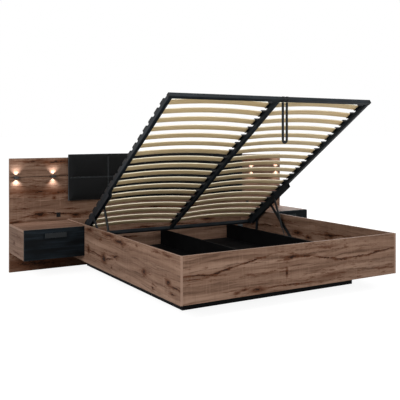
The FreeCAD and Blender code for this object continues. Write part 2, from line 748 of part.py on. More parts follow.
def frame_bolts():
    """Bolt heads inside the lift channels, up into the side rails."""
    length = CHANNEL_FOOT_SETBACK - CHANNEL_HEAD_SETBACK
    start = FRAME_LENGTH - CHANNEL_FOOT_SETBACK
    top = -TUBE - CHANNEL_WALL
    bolts = []
    for _, sign in SIDES:
        x = sign * (RAIL_IN + RAIL_OUT) / 2
        for share in CHANNEL_BOLT_SHARES:
            bolts.append(Part.makeCylinder(
                BOLT_HEAD_RADIUS, BOLT_HEAD, V(x, start + share * length, top), V(0, 0, -1)))
    return bolts


def strap_bands():
    """Two webbing turns sewn round the foot rail, one for each end of the pull strap."""
    bands = []
    offset = (STRAP_LEG_GAP + STRAP_LEG) / 2
    for way in (-1, 1):
        middle = STRAP_X + way * offset
        x = (middle - STRAP_LEG / 2, middle + STRAP_LEG / 2)
        rail = ((0, TUBE), (-TUBE, 0))
        outer = [grown(span, STRAP_BAND) for span in rail]
        band = rounded_bar(x, *outer, TUBE_CORNER + STRAP_BAND, 0)
        bands.append(band.cut(rounded_bar(grown(x, OVERRUN), *rail, TUBE_CORNER, 0)))
    return bands


def lift_frame():
    flat = frame_tubes()
    flat.update(slats_and_holders())
    for side, sign in SIDES:
        flat["lift_channel_" + side] = [lift_channel(sign)]
    flat["frame_bolts"] = frame_bolts()
    flat["strap_bands"] = strap_bands()
    return {name: [lifted(shape) for shape in shapes] for name, shapes in flat.items()}


def pull_strap():
    """Flat webbing loop that hangs straight down from the foot rail."""
    back = STRAP_PIVOT[0] - STRAP_THICKNESS / 2
    inner = STRAP_LEG_GAP / 2
    outer = inner + STRAP_LEG
    bend = STRAP_TOP - STRAP_LENGTH + outer
    wire = outline([
        V(STRAP_X - outer, back, bend),
        (V(STRAP_X, back, bend - outer), V(STRAP_X + outer, back, bend)),
        V(STRAP_X + outer, back, STRAP_TOP),
        V(STRAP_X + inner, back, STRAP_TOP),
        V(STRAP_X + inner, back, bend),
        (V(STRAP_X, back, bend - inner), V(STRAP_X - inner, back, bend)),
        V(STRAP_X - inner, back, STRAP_TOP),
        V(STRAP_X - outer, back, STRAP_TOP),
    ])
    return Part.Face(wire).extrude(V(0, STRAP_THICKNESS, 0))


# Lift mechanism on the side panels

def link_bar(sign, length):
    """Flat arm along +Y with round ends."""
    half = ARM_WIDTH / 2
    x = sign * ARM_X
    wire = outline([
        V(x, length, -half),
        (V(x, length + half, 0), V(x, length, half)),
        V(x, 0, half),
        (V(x, -half, 0), V(x, 0, -half)),
    ])
    return Part.Face(wire).extrude(V(sign * ARM_THICKNESS, 0, 0))


def pin_bore(sign, place):
    bore = (sign * (ARM_X - OVERRUN), sign * (ARM_X + ARM_THICKNESS + OVERRUN))
    return rod_x(PIN_RADIUS + PIN_CLEARANCE, bore, place, 0)


def front_arm(sign):
    length = reach(FRONT_GROUND, FRONT_PIVOT)
    bar = link_bar(sign, length).cut(pin_bore(sign, 0)).cut(pin_bore(sign, length))
    return aimed(bar, FRONT_GROUND, FRONT_PIVOT)


def rear_arm(sign):
    """Short arm: its upper rivet ends just short of the lift channel, where the linkage is open."""
    length = reach(REAR_GROUND, REAR_PIVOT)
    bar = link_bar(sign, length).cut(pin_bore(sign, 0))
    rivet = rod_x(PIN_RADIUS, (sign * (RAIL_OUT + RUNNING_GAP), sign * ARM_X), length, 0)
    outside = sign * (ARM_X + ARM_THICKNESS)
    head = rod_x(PIN_HEAD_RADIUS, (outside, outside + sign * PIN_HEAD), length, 0)
    return aimed(fuse([bar, rivet, head]), REAR_GROUND, REAR_PIVOT)


def hinge_plate(sign):
    """Plate on a side panel with the fixed pins of both arms and of the gas strut."""
    y = (FRONT_GROUND[0] - PLATE_MARGIN, REAR_GROUND[0] + PLATE_MARGIN)
    plate_face = sign * PLATE_X
    pieces = [slab((plate_face, sign * HALF_INSIDE), y, (PLATE_LOW, PLATE_HIGH))]
    arm = (ARM_X - RUNNING_GAP, ARM_X + ARM_THICKNESS + RUNNING_GAP)
    eye = (STRUT_X - EYE_WIDTH / 2 - RUNNING_GAP, STRUT_X + EYE_WIDTH / 2 + RUNNING_GAP)
    for pivot, (near, far) in ((FRONT_GROUND, arm), (REAR_GROUND, arm), (STRUT_GROUND, eye)):
        pieces.append(rod_x(BOSS_RADIUS, (plate_face, sign * far), pivot[0], pivot[1]))
        pieces.append(rod_x(PIN_RADIUS, (plate_face, sign * near), pivot[0], pivot[1]))
        head = (sign * near, sign * (near - PIN_HEAD))
        pieces.append(rod_x(PIN_HEAD_RADIUS, head, pivot[0], pivot[1]))
    return fuse(pieces)


def plate_screws(sign):
    """Screw heads between the pins of a hinge plate."""
    face = sign * PLATE_X
    height = (PLATE_LOW + PLATE_HIGH) / 2
    head = (face, face - sign * SCREW_HEAD)
    places = (
        FRONT_GROUND[0] - PLATE_MARGIN / 2,
        (FRONT_GROUND[0] + REAR_GROUND[0]) / 2,
        REAR_GROUND[0] + PLATE_MARGIN / 2,
    )
    return [rod_x(SCREW_HEAD_RADIUS, head, y, height) for y in places]


STRUT_LIFTED_LENGTH = reach(STRUT_GROUND, STRUT_PIVOT)
STRUT_LOWERED_LENGTH = reach(STRUT_GROUND, STRUT_LOWERED)
CYLINDER_START = STRUT_LIFTED_LENGTH - STRUT_LOWERED_LENGTH + ROD_END


def strut_eye(sign, place):
    half = EYE_WIDTH / 2
    return rod_x(EYE_RADIUS, (sign * (STRUT_X - half), sign * (STRUT_X + half)), place, 0)


def bar_along_y(radius, sign, start, end):
    return Part.makeCylinder(radius, end - start, V(sign * STRUT_X, start, 0), V(0, 1, 0))


def strut_rod(sign):
    """Rod that turns on the hinge plate's pin and slides in the cylinder."""
    half = EYE_WIDTH / 2 + OVERRUN
    top = CYLINDER_START + ROD_OVERLAP
    body = fuse([strut_eye(sign, 0), bar_along_y(ROD_RADIUS, sign, 0, top)])
    pin = rod_x(PIN_RADIUS + PIN_CLEARANCE, (sign * (STRUT_X - half), sign * (STRUT_X + half)), 0, 0)
    return aimed(body.cut(pin), STRUT_GROUND, STRUT_PIVOT)


def strut_cylinder(sign):
    """Cylinder with an eye and a stud that ends just short of the lift channel, where the strut is open."""
    end = STRUT_LIFTED_LENGTH
    body = fuse([
        strut_eye(sign, end),
        rod_x(PIN_RADIUS, (sign * STRUT_X, sign * (RAIL_IN - RUNNING_GAP)), end, 0),
        bar_along_y(STRUT_NECK_RADIUS, sign, end - STRUT_NECK, end),
        bar_along_y(STRUT_RADIUS, sign, CYLINDER_START, end - STRUT_NECK),
    ])
    bore = bar_along_y(ROD_RADIUS + RUNNING_GAP, sign, CYLINDER_START - OVERRUN, end - BORE_START)
    return aimed(body.cut(bore), STRUT_GROUND, STRUT_PIVOT)


def mechanism():
    nodes = {"hinge_plate_" + side: [hinge_plate(sign)] for side, sign in SIDES}
    nodes["front_arms"] = [front_arm(sign) for _, sign in SIDES]
    nodes["rear_arms"] = [rear_arm(sign) for _, sign in SIDES]
    nodes["strut_cylinders"] = [strut_cylinder(sign) for _, sign in SIDES]
    nodes["strut_rods"] = [strut_rod(sign) for _, sign in SIDES]
    return nodes


def whole_bed():
    nodes = bed_box()
    nodes.update(plinth_and_storage())
    brackets, screws = corner_brackets()
    for _, sign in SIDES:
        screws.extend(plate_screws(sign))
    nodes["corner_brackets"] = brackets
    nodes["fixing_screws"] = screws
    nodes.update(headboard())
    nodes.update(headboard_pad())
    nodes.update(wing_fittings())
    for side, sign in SIDES:
        nodes.update(bedside_table(side, sign))
        nodes.update(drawer(side, sign))
    nodes.update(mechanism())
    nodes.update(lift_frame())
    nodes["pull_strap"] = [pull_strap()]
    return nodes


os.makedirs("parts", exist_ok=True)
for node, shapes in whole_bed().items():
    shape = shapes[0] if len(shapes) == 1 else Part.makeCompound(shapes)
    shape.exportStep("parts/" + node + ".step")
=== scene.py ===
# %% [markdown]
# # An ottoman bed, dressed around its CAD model
#
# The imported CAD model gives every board, tube and arm its place and size. This lesson dresses it:
# first the camera and the light, then the finishes of the boards and the steel, then the soft pieces,
# which are built here because cloth never looks right as a plain solid.

import math

import bmesh
import bpy
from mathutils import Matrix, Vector
from mathutils.bvhtree import BVHTree


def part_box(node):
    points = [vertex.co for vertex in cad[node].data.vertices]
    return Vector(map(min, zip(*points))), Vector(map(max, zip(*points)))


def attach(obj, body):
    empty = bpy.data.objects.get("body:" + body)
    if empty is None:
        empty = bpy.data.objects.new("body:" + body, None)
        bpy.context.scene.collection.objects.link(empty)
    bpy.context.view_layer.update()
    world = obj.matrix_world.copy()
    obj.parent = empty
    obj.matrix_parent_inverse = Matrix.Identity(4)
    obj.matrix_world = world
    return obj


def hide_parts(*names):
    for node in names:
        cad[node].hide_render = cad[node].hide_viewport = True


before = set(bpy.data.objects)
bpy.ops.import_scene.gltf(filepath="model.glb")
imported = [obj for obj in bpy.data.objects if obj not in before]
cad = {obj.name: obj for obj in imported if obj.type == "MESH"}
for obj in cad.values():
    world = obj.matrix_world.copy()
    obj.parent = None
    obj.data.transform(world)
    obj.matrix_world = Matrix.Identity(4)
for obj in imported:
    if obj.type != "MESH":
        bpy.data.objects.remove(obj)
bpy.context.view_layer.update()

# %% [markdown]
# ## Small tools
#
# Colours are written as sRGB hex codes, as a paint chart would give them, and Blender wants them linear,
# so one function converts them. Another adds a shader node: a socket gets a plain value, or a link from
# another node.

# %% Colours, nodes and objects
MM = 0.001
scene = bpy.context.scene


def srgb(code):
    """Linear RGBA from an sRGB hex code."""
    channels = [int(code[place:place + 2], 16) / 255 for place in (1, 3, 5)]
    return [c / 12.92 if c <= 0.04045 else ((c + 0.055) / 1.055) ** 2.4 for c in channels] + [1.0]


def add(tree, kind, sockets=None, **settings):
    """Adds a shader node; a socket gets a value, or a link from an output or from a node's first one."""
    made = tree.nodes.new("ShaderNode" + kind)
    for name, value in settings.items():
        setattr(made, name, value)
    for name, value in (sockets or {}).items():
        source = value.outputs[0] if isinstance(value, bpy.types.Node) else value
        if isinstance(source, bpy.types.NodeSocket):
            tree.links.new(source, made.inputs[name])
        else:
            made.inputs[name].default_value = source
    return made


def new_object(name, data):
    """An object in the scene."""
    made = bpy.data.objects.new(name, data)
    scene.collection.objects.link(made)
    return made


print("tools ready")

# %% [markdown]
# ## Camera
#
# The photograph was taken from beyond the left foot corner with a level camera: all upright edges stay
# upright in it. Its horizon lies above the middle of the picture, so the lens is shifted down rather than
# the camera tilted.

# %% Camera
SENSOR_MM, LENS_MM = 36.0, 58.45
LENS_SHIFT = -0.1622
CAMERA_PLACE = (-2.8505, -4.4928, 1.1573)
CAMERA_LEVEL, CAMERA_TURN = math.radians(90), math.radians(-30.817)

camera_data = bpy.data.cameras.new("camera")
camera_data.sensor_width = SENSOR_MM
camera_data.lens = LENS_MM
camera_data.shift_y = LENS_SHIFT
camera = new_object("camera", camera_data)
camera.location = CAMERA_PLACE
camera.rotation_euler = (CAMERA_LEVEL, 0, CAMERA_TURN)
scene.camera = camera
print("camera at", [round(c, 3) for c in camera.location])

# %% [markdown]
# ## Studio
#
# Product photographs stand on white. The floor and the world look white to the camera and in reflections,
# through Light Path, while the light that they throw on the bed stays modest. Round the bed the floor glows
# a little less and has plain shading, so the soft shadow still shows there.

# %% World and floor
WHITE = [1.0, 1.0, 1.0, 1.0]
WORLD_LIGHT = 0.18
FLOOR_REACH = 300.0
FLOOR_MATTE, FLOOR_SHADE = "#dededc", "#8f8f8f"
GLOW_NEAR, GLOW_FAR = 0.90, 1.0
GLOW_START, GLOW_END = 2.0, 4.5
# A range that starts and ends softly.
SMOOTH = {"interpolation_type": "SMOOTHSTEP"}


def seen_directly(tree):
    """1 for rays that show the surface: from the camera, in gloss or through glass."""
    path = add(tree, "LightPath").outputs
    gloss = add(tree, "Math", {0: path["Is Camera Ray"], 1: path["Is Glossy Ray"]}, operation="MAXIMUM")
    return add(tree, "Math", {0: gloss, 1: path["Is Transmission Ray"]}, operation="MAXIMUM")


scene.view_settings.view_transform = "Standard"
world = bpy.data.worlds.new("studio")
world.use_nodes = True
tree = world.node_tree
tree.nodes.clear()
strength = add(tree, "MapRange", {0: seen_directly(tree), 3: WORLD_LIGHT, 4: 1.0})
sky = add(tree, "Background", {"Color": WHITE, "Strength": strength})
add(tree, "OutputWorld", {0: sky})
scene.world = world

paper = bpy.data.materials.new("white_floor")
paper.use_nodes = True
tree = paper.node_tree
tree.nodes.clear()
matte = add(tree, "BsdfDiffuse", {"Color": srgb(FLOOR_MATTE)})
shade = add(tree, "BsdfDiffuse", {"Color": srgb(FLOOR_SHADE)})
place = add(tree, "TexCoord")
distance = add(tree, "VectorMath", {0: place.outputs["Object"]}, operation="LENGTH")
glow_range = {0: distance.outputs["Value"], 1: GLOW_START, 2: GLOW_END, 3: GLOW_NEAR, 4: GLOW_FAR}
level = add(tree, "MapRange", glow_range, **SMOOTH)
glow = add(tree, "Emission", {"Color": WHITE, "Strength": level})
lit = add(tree, "AddShader", {0: shade, 1: glow})
both = add(tree, "MixShader", {0: seen_directly(tree), 1: matte, 2: lit})
add(tree, "OutputMaterial", {"Surface": both})

floor_mesh = bpy.data.meshes.new("floor")
floor_corners = [(x * FLOOR_REACH, y * FLOOR_REACH, 0) for x, y in ((-1, -1), (1, -1), (1, 1), (-1, 1))]
floor_mesh.from_pydata(floor_corners, [], [(0, 1, 2, 3)])
floor_mesh.materials.append(paper)
floor = new_object("floor", floor_mesh)
print("floor and world ready")

# %% [markdown]
# Four square softboxes light the bed: the key lamp on the left models the long side, a weaker one fills the
# foot panel, one above lifts the table tops, and one behind lights the back. A sun lamp would be less work,
# but its hard shadows don't belong on a white ground.

# %% Studio lamps
# Name, place and target in metres, side in metres, watts.
SOFTBOXES = (
    ("key_softbox", (-5.3, -3.2, 3.2), (0, 0, 0.5), 2.6, 295),
    ("front_softbox", (1.6, -6.0, 1.9), (0.2, 0, 0.5), 3.0, 118),
    ("top_softbox", (0.5, -0.6, 4.6), (0, 0, 0.3), 2.5, 48),
    ("rear_softbox", (3.8, 4.6, 2.8), (0, 0.6, 0.5), 3.0, 160),
)
for name, lamp_place, target, side, watts in SOFTBOXES:
    lamp = bpy.data.lights.new(name, "AREA")
    lamp.energy = watts
    lamp.size = side
    softbox = new_object(name, lamp)
    softbox.location = lamp_place
    softbox.rotation_euler = (Vector(target) - Vector(lamp_place)).to_track_quat("-Z", "Y").to_euler()
print("softboxes:", len(SOFTBOXES))

# %% [markdown]
# ## Oak boards
#
# The boards are chipboard with a printed oak decor: grey-brown, matt, with the grain along the board,
# faint saw marks across it, small dark pores, and dark knots with long cracks. A print has no depth of its
# own, so the pattern is drawn by nodes in board coordinates, u along the grain and v across it, in metres.
# A photograph of oak could be laid on instead, but a pattern drawn from sizes never repeats or blurs.
# Noise that is stretched along u gives streaks and pores, and moving v by a slow noise makes them wavy.

# %% Board coordinates and stretched noise
AXES = {"X": 0, "Y": 1, "Z": 2}
# How far apart in the endless print two sheets are cut, in metres along u, v and w.
SHEET_STEP = (3.7, 1.3, 1.0)


def third_axis(along, across):
    """The axis through a board."""
    return ({"X", "Y", "Z"} - {along, across}).pop()


def board_coordinates(tree, along, across, seed):
    """The place node, and (u, v, w) in metres, along, across and through the board: plain, and moved."""
    place = add(tree, "TexCoord")
    split = add(tree, "SeparateXYZ", {0: place.outputs["Object"]})
    u, v, w = (split.outputs[AXES[axis]] for axis in (along, across, third_axis(along, across)))
    plain = add(tree, "CombineXYZ", {0: u, 1: v, 2: w})
    moved = add(tree, "VectorMath", {0: plain, 1: [step * seed for step in SHEET_STEP]}, operation="ADD")
    return place, plain, moved


def stretched(tree, vector, sizes_mm, detail, roughness=0.55):
    """Noise whose waves have a size of their own, in mm, along each board direction."""
    waves = [1 / (size * MM) for size in sizes_mm]
    sized = add(tree, "VectorMath", {0: vector, 1: waves}, operation="MULTIPLY")
    return add(tree, "TexNoise", {"Vector": sized, "Scale": 1.0, "Detail": detail, "Roughness": roughness})


def tinted(tree, colour, other, pattern, low, high, most=1.0):
    """A colour, taken smoothly towards another, or a hex code, while a pattern goes from low to high."""
    share = add(tree, "MapRange", {0: pattern, 1: low, 2: high, 4: most}, **SMOOTH)
    target = srgb(other) if isinstance(other, str) else other
    return add(tree, "Mix", {0: share, 6: colour, 7: target}, data_type="RGBA").outputs[2]


def wavy(tree, vector, bend, reach):
    """Board coordinates, moved across the grain by up to the reach where a noise bends them."""
    move = add(tree, "MapRange", {0: bend, 1: 0.22, 2: 0.78, 3: -reach, 4: reach}, **SMOOTH)
    sideways = add(tree, "CombineXYZ", {1: move})
    return add(tree, "VectorMath", {0: vector, 1: sideways}, operation="ADD")


print("board tools ready")

# %% [markdown]
# The ground of the print is an even grey-brown: long soft streaks, finer lines, dark pores, and upright saw
# marks a good centimetre apart. Broad darker zones keep it from looking made by a machine. The pores of real
# oak are a third of a millimetre wide, too fine to show in the render, so lines and flecks are drawn one to
# two centimetres wide.

# %% Ground of the oak print
OAK_DARK = "#60483a"
OAK_MID = "#7a5f4f"
OAK_LIGHT = "#917665"
OAK_SHADE = "#452f23"
OAK_STAIN = "#47240f"
# Sizes along the grain, across it and through the board.
STREAKS_MM = (1250, 45, 45)
ZONES_MM = (830, 140, 500)
LINES_MM = (450, 21, 21)
SAW_MARKS_MM = (14, 200, 250)
FLECKS_MM = (100, 13, 33)


def printed_ground(tree, vector, grain, darker):
    """Colour of the plain print, and its fine lines, which also give it relief."""
    tone = add(tree, "ValToRGB", {0: stretched(tree, grain, STREAKS_MM, 5.0, 0.62)})
    stops = tone.color_ramp.elements
    stops[0].position, stops[0].color = 0.30, srgb(OAK_DARK)
    stops[1].position, stops[1].color = 0.70, srgb(OAK_LIGHT)
    stops.new(0.5).color = srgb(OAK_MID)
    colour = add(tree, "Mix", {0: darker, 6: tone, 7: srgb(OAK_SHADE)}, data_type="RGBA").outputs[2]
    zones = stretched(tree, grain, ZONES_MM, 4.0)
    lines = stretched(tree, grain, LINES_MM, 6.0, 0.74)
    saw_marks = stretched(tree, vector, SAW_MARKS_MM, 3.0, 0.6)
    flecks = stretched(tree, grain, FLECKS_MM, 5.0, 0.7)
    colour = tinted(tree, colour, OAK_SHADE, zones, 0.50, 0.72, 0.65)
    colour = tinted(tree, colour, OAK_SHADE, lines, 0.50, 0.68, 0.82)
    colour = tinted(tree, colour, OAK_LIGHT, lines, 0.47, 0.30, 0.70)
    colour = tinted(tree, colour, OAK_LIGHT, saw_marks, 0.52, 0.70, 0.18)
    colour = tinted(tree, colour, OAK_DARK, saw_marks, 0.47, 0.32, 0.20)
    colour = tinted(tree, colour, OAK_STAIN, flecks, 0.60, 0.70, 0.80)
    return colour, lines


print("oak ground ready")

# %% [markdown]
# Knots and cracks are what the eye knows this decor by, so they stand at chosen places. Each mark is a long
# ellipse: a reddish stain with a near-black core, its rim torn by noise, and a crack is just a very thin one.
# A mark is written as (u, v, half length in mm, half width in mm, slope, depth), where the depth says how
# much of the ellipse turns black. Round each mark lie checks, the short fine splits of drying wood.

# %% Knots, cracks and checks
OAK_CRACK = "#1a0c06"
CRACK_BEND_MM = (125, 70, 1000)
CRACK_REACH = 10 * MM
TORN_RIM_MM = (28, 9, 50)
CHECKS_MM = (77, 12.5, 50)


def mark_field(tree, vector, marks):
    """Highest of the marks at each point: its depth in the middle, falling by 1 to the ellipse's rim."""
    field = None
    for mark_u, mark_v, half_length, half_width, slope, depth in marks:
        local = add(tree, "VectorMath", {0: vector, 1: (mark_u, mark_v, 0)}, operation="SUBTRACT")
        parts = add(tree, "SeparateXYZ", {0: local}).outputs
        level = add(tree, "Math", {0: parts[0], 1: -slope, 2: parts[1]}, operation="MULTIPLY_ADD")
        oval = add(tree, "CombineXYZ", {0: parts[0], 1: level})
        shares = (1 / (half_length * MM), 1 / (half_width * MM), 0)
        sized = add(tree, "VectorMath", {0: oval, 1: shares}, operation="MULTIPLY")
        far = add(tree, "VectorMath", {0: sized}, operation="LENGTH").outputs["Value"]
        value = add(tree, "Math", {0: depth, 1: far}, operation="SUBTRACT")
        if field is None:
            field = value
        else:
            field = add(tree, "Math", {0: field, 1: value}, operation="MAXIMUM")
    return field


def marked(tree, plain, vector, colour, marks):
    """Colour of the print with its marks, and how far each point lies in a black core."""
    bend = stretched(tree, vector, CRACK_BEND_MM, 6.0, 0.72)
    field = mark_field(tree, wavy(tree, plain, bend, CRACK_REACH), marks)
    rim = stretched(tree, vector, TORN_RIM_MM, 4.0, 0.7)
    torn = add(tree, "Math", {0: rim, 1: 3.0, 2: -1.5}, operation="MULTIPLY_ADD")
    ragged = add(tree, "Math", {0: field, 1: torn}, operation="ADD")
    inside = add(tree, "MapRange", {0: field, 1: -0.9, 2: -0.3}, **SMOOTH)
    core = add(tree, "MapRange", {0: ragged, 1: 0.10, 2: 0.50, 4: inside}, **SMOOTH)
    around = add(tree, "MapRange", {0: field, 1: -3.4, 2: -1.0, 4: 0.75}, **SMOOTH)
    checks = stretched(tree, vector, CHECKS_MM, 4.0, 0.65)
    colour = tinted(tree, colour, OAK_STAIN, checks, 0.53, 0.62, around)
    colour = tinted(tree, colour, OAK_STAIN, field, -1.4, 0.3, 0.85)
    black = add(tree, "Math", {0: core, 1: 0.95}, operation="MULTIPLY")
    colour = add(tree, "Mix", {0: black, 6: colour, 7: srgb(OAK_CRACK)}, data_type="RGBA").outputs[2]
    return colour, core


print("mark tools ready")

# %% [markdown]
# One function puts the print together. The thin sides of a board carry a lighter edge band, found from the
# surface normal; it is lighter partly as a painted highlight on edges that catch the light. The headboard has
# a routed cable groove at the height of its wall spots, only a few millimetres wide, so painted shade, a dark
# line on the front, stands in for the shadow inside the cut. A laminate is pressed against a matt plate,
# which leaves hardly any gloss, hence the high roughness.

# %% Printed oak laminate
OAK_EDGE_BAND_AND_HIGHLIGHT = "#957a6a"
GRAIN_BEND_MM = (500, 250, 1000)
GRAIN_REACH = 14 * MM
GROOVE_SHADE_OUTER, GROOVE_SHADE_INNER = 4 * MM, 2 * MM
PRINT_RELIEF = 0.5 * MM


def new_finish(name, **constants):
    """A material with a Principled shader, its constant values set on the shader's own sockets."""
    made = bpy.data.materials.new(name)
    made.use_nodes = True
    shader = made.node_tree.nodes["Principled BSDF"]
    for socket, value in constants.items():
        shader.inputs[socket.replace("_", " ")].default_value = value
    return made, made.node_tree, shader


def skin(tree, shader, colour, height, strength, depth):
    """Gives a shader its colour and, from a height pattern, its relief."""
    bump = add(tree, "Bump", {"Strength": strength, "Distance": depth, "Height": height})
    tree.links.new(colour, shader.inputs["Base Color"])
    tree.links.new(bump.outputs[0], shader.inputs["Normal"])


def oak(name, along, across, seed, marks, darker, groove_z=None):
    """Printed oak for boards with the grain along one axis; some boards are tinted darker overall."""
    made, tree, shader = new_finish(name, Roughness=0.62, Specular_IOR_Level=0.08)
    place, plain, vector = board_coordinates(tree, along, across, seed)
    grain = wavy(tree, vector, stretched(tree, vector, GRAIN_BEND_MM, 3.0), GRAIN_REACH)
    colour, lines = printed_ground(tree, vector, grain, darker)
    colour, core = marked(tree, plain, vector, colour, marks)
    normal = add(tree, "SeparateXYZ", {0: place.outputs["Normal"]})
    through = normal.outputs[AXES[third_axis(along, across)]]
    # Painted shade: a dark line on the front at the groove's height stands in for the shadow inside the
    # groove.
    if groove_z is not None:
        level = add(tree, "SeparateXYZ", {0: plain}).outputs[1]
        above = add(tree, "Math", {0: level, 1: groove_z}, operation="SUBTRACT")
        off = add(tree, "Math", {0: above}, operation="ABSOLUTE")
        front = add(tree, "MapRange", {0: through, 1: 0.6, 2: 0.3}, **SMOOTH)
        colour = tinted(tree, colour, OAK_CRACK, off, GROOVE_SHADE_OUTER, GROOVE_SHADE_INNER, front)
    # Lighter edges: partly the edge band's own colour, partly a painted highlight where edges and bevels
    # catch the light.
    facing = add(tree, "Math", {0: through}, operation="ABSOLUTE")
    colour = tinted(tree, colour, OAK_EDGE_BAND_AND_HIGHLIGHT, facing, 0.8, 0.5, 0.80)
    height = add(tree, "Math", {0: core, 1: -1.0, 2: lines}, operation="MULTIPLY_ADD")
    skin(tree, shader, colour, height, 0.25, PRINT_RELIEF)
    return made


print("oak laminate ready")

# %% [markdown]
# Where the photograph shows a board, the marks stand as it shows them; on the hidden boards they are free.
# Here u and v are shares of the board's length and width, so the marks would stay in place on a longer or
# wider board.

# %% Where each board has its marks
FOOT_MARKS = (
    (0.06, 0.57, 100, 4, -0.08, 1.0), (0.157, 0.6, 90, 5, 0.21, 1.0), (0.27, 0.72, 130, 4, 0.17, 0.9),
    (0.036, 0.49, 60, 3, -0.11, 0.7), (0.47, 0.71, 50, 9, 0.02, 1.0), (0.53, 0.71, 60, 7, -0.03, 0.9),
    (0.44, 0.39, 9, 26, 0.0, 0.8), (0.628, 0.61, 92, 4, -0.18, 0.9), (0.703, 0.545, 62, 5, -0.08, 1.0),
    (0.8, 0.555, 82, 4, 0.03, 0.9), (0.917, 0.6, 150, 4, 0.09, 1.0), (0.219, 0.1, 22, 9, 0.0, 0.7),
    (0.25, 0.14, 34, 8, 0.0, 0.7), (0.309, 0.09, 58, 17, 0.0, 0.8), (0.448, 0.11, 210, 4, -0.02, 0.7),
    (0.665, 0.21, 150, 26, 0.05, 0.0), (0.95, 0.2, 70, 20, 0.0, 0.0), (0.63, 0.86, 190, 22, -0.02, -0.1),
    (0.35, 0.44, 120, 12, 0.05, -0.1),
)
SIDE_MARKS = (
    (0.742, 0.39, 18, 22, 0.0, 1.0), (0.665, 0.355, 165, 4, 0.08, 0.9), (0.588, 0.31, 34, 24, 0.0, 1.1),
    (0.55, 0.345, 90, 5, -0.15, 0.8), (0.48, 0.48, 44, 8, -0.1, 0.8), (0.446, 0.87, 78, 13, 0.0, 1.0),
    (0.541, 0.94, 72, 13, 0.0, 0.9), (0.736, 0.91, 62, 12, 0.0, 0.8), (0.303, 0.92, 16, 7, 0.0, 0.7),
    (0.244, 0.39, 24, 11, 0.0, 1.0), (0.244, 0.395, 80, 3, 0.0, 0.5), (0.077, 0.39, 25, 15, 0.0, 1.0),
    (0.03, 0.31, 62, 5, 0.1, 0.9), (0.183, 0.12, 11, 8, 0.0, 0.9), (0.049, 0.18, 30, 5, 0.0, 0.8),
    (0.148, 0.93, 45, 7, 0.0, 0.4), (0.084, 0.94, 62, 9, 0.0, 0.4), (0.515, 0.16, 13, 7, 0.0, 0.7),
    (0.616, 0.79, 15, 8, 0.0, 0.7), (0.179, 0.21, 24, 7, 0.0, 0.3), (0.88, 0.55, 60, 12, 0.0, 0.7),
)
SIDE_INNER_MARKS = (
    (0.765, 0.59, 155, 5, -0.08, 0.9), (0.551, 0.54, 46, 16, 0.0, 1.0), (0.479, 0.46, 32, 10, 0.0, 0.9),
    (0.335, 0.65, 170, 6, -0.07, 0.9), (0.345, 0.64, 60, 14, 0.0, 0.9), (0.64, 0.8, 110, 10, 0.0, 0.3),
    (0.18, 0.55, 90, 6, 0.03, 0.8), (0.88, 0.75, 60, 16, 0.0, 0.6),
)
# The broad marks low on the headboard, below the bedside tables, are partly painted shade: besides the
# decor's dark band they darken the wood where the tables shade it.
HEADBOARD_MARKS = (
    (0.063, 0.97, 130, 9, 0.0, 0.5), (0.14, 0.965, 135, 15, 0.0, 0.8), (0.087, 0.705, 290, 42, -0.03, 0.3),
    (0.095, 0.7, 46, 9, 0.0, 1.0), (0.15, 0.682, 120, 12, -0.03, 0.6), (0.135, 0.643, 16, 18, 0.0, 0.6),
    (0.071, 0.494, 70, 5, 0.17, 0.9), (0.15, 0.492, 185, 4, -0.09, 1.0), (0.228, 0.478, 60, 4, 0.17, 0.9),
    (0.091, 0.496, 44, 18, 0.0, 1.0), (0.205, 0.469, 40, 12, 0.0, 1.0), (0.045, 0.551, 28, 5, 0.0, 0.9),
    (0.185, 0.532, 42, 5, 0.0, 0.9), (0.016, 0.436, 46, 9, 0.0, 0.9), (0.08, 0.06, 300, 45, 0.0, 0.6),
    (0.12, 0.11, 160, 12, 0.0, 0.6), (0.01, 0.172, 42, 10, 0.0, 0.5), (0.35, 0.47, 160, 7, 0.02, 0.8),
    (0.48, 0.5, 60, 14, 0.0, 0.9), (0.62, 0.48, 150, 6, -0.03, 0.9), (0.74, 0.52, 70, 12, 0.0, 0.9),
    (0.86, 0.938, 150, 14, 0.0, 0.8), (0.93, 0.75, 190, 18, 0.02, 0.4), (0.89, 0.52, 52, 14, 0.0, 0.9),
    (0.93, 0.5, 120, 5, 0.03, 0.9), (0.93, 0.08, 220, 18, 0.0, 0.8),
)
HEAD_PANEL_MARKS = (
    (0.09, 0.6, 100, 7, 0.05, 0.9), (0.24, 0.8, 50, 12, 0.0, 0.8), (0.4, 0.6, 80, 8, 0.0, 0.9),
    (0.62, 0.62, 120, 6, -0.05, 0.9), (0.78, 0.7, 60, 12, 0.0, 0.9), (0.3, 0.35, 100, 8, 0.0, 0.7),
)
TABLE_MARKS = (
    (0.3, 0.35, 90, 5, 0.05, 0.6), (0.7, 0.6, 60, 8, 0.0, 0.3), (0.5, 0.85, 150, 6, 0.0, 0.3),
    (0.25, 0.62, 130, 14, 0.04, -0.1), (0.62, 0.22, 160, 12, -0.03, 0.0), (0.85, 0.45, 80, 9, 0.0, 0.1),
)
TABLE_SIDE_MARKS = (
    (0.64, 0.48, 20, 12, 0.0, 0.7), (0.3, 0.75, 60, 5, 0.0, 0.5), (0.45, 0.15, 80, 6, 0.0, 0.5),
)
print("marks on the foot panel:", len(FOOT_MARKS))

# %% [markdown]
# Every made board has slightly rounded edges that catch the light. They could be drawn in the CAD model, but
# a bevel is easier to change. Before it, the loose triangles of the CAD mesh are welded and merged.

# %% Dress and soften CAD pieces
WELD_REACH = 0.01 * MM
FLAT_ANGLE = math.radians(0.5)
SHARP_ANGLE = math.radians(40)


def dress(material, *names):
    """Gives CAD nodes a material."""
    for name in names:
        cad[name].data.materials.clear()
        cad[name].data.materials.append(material)


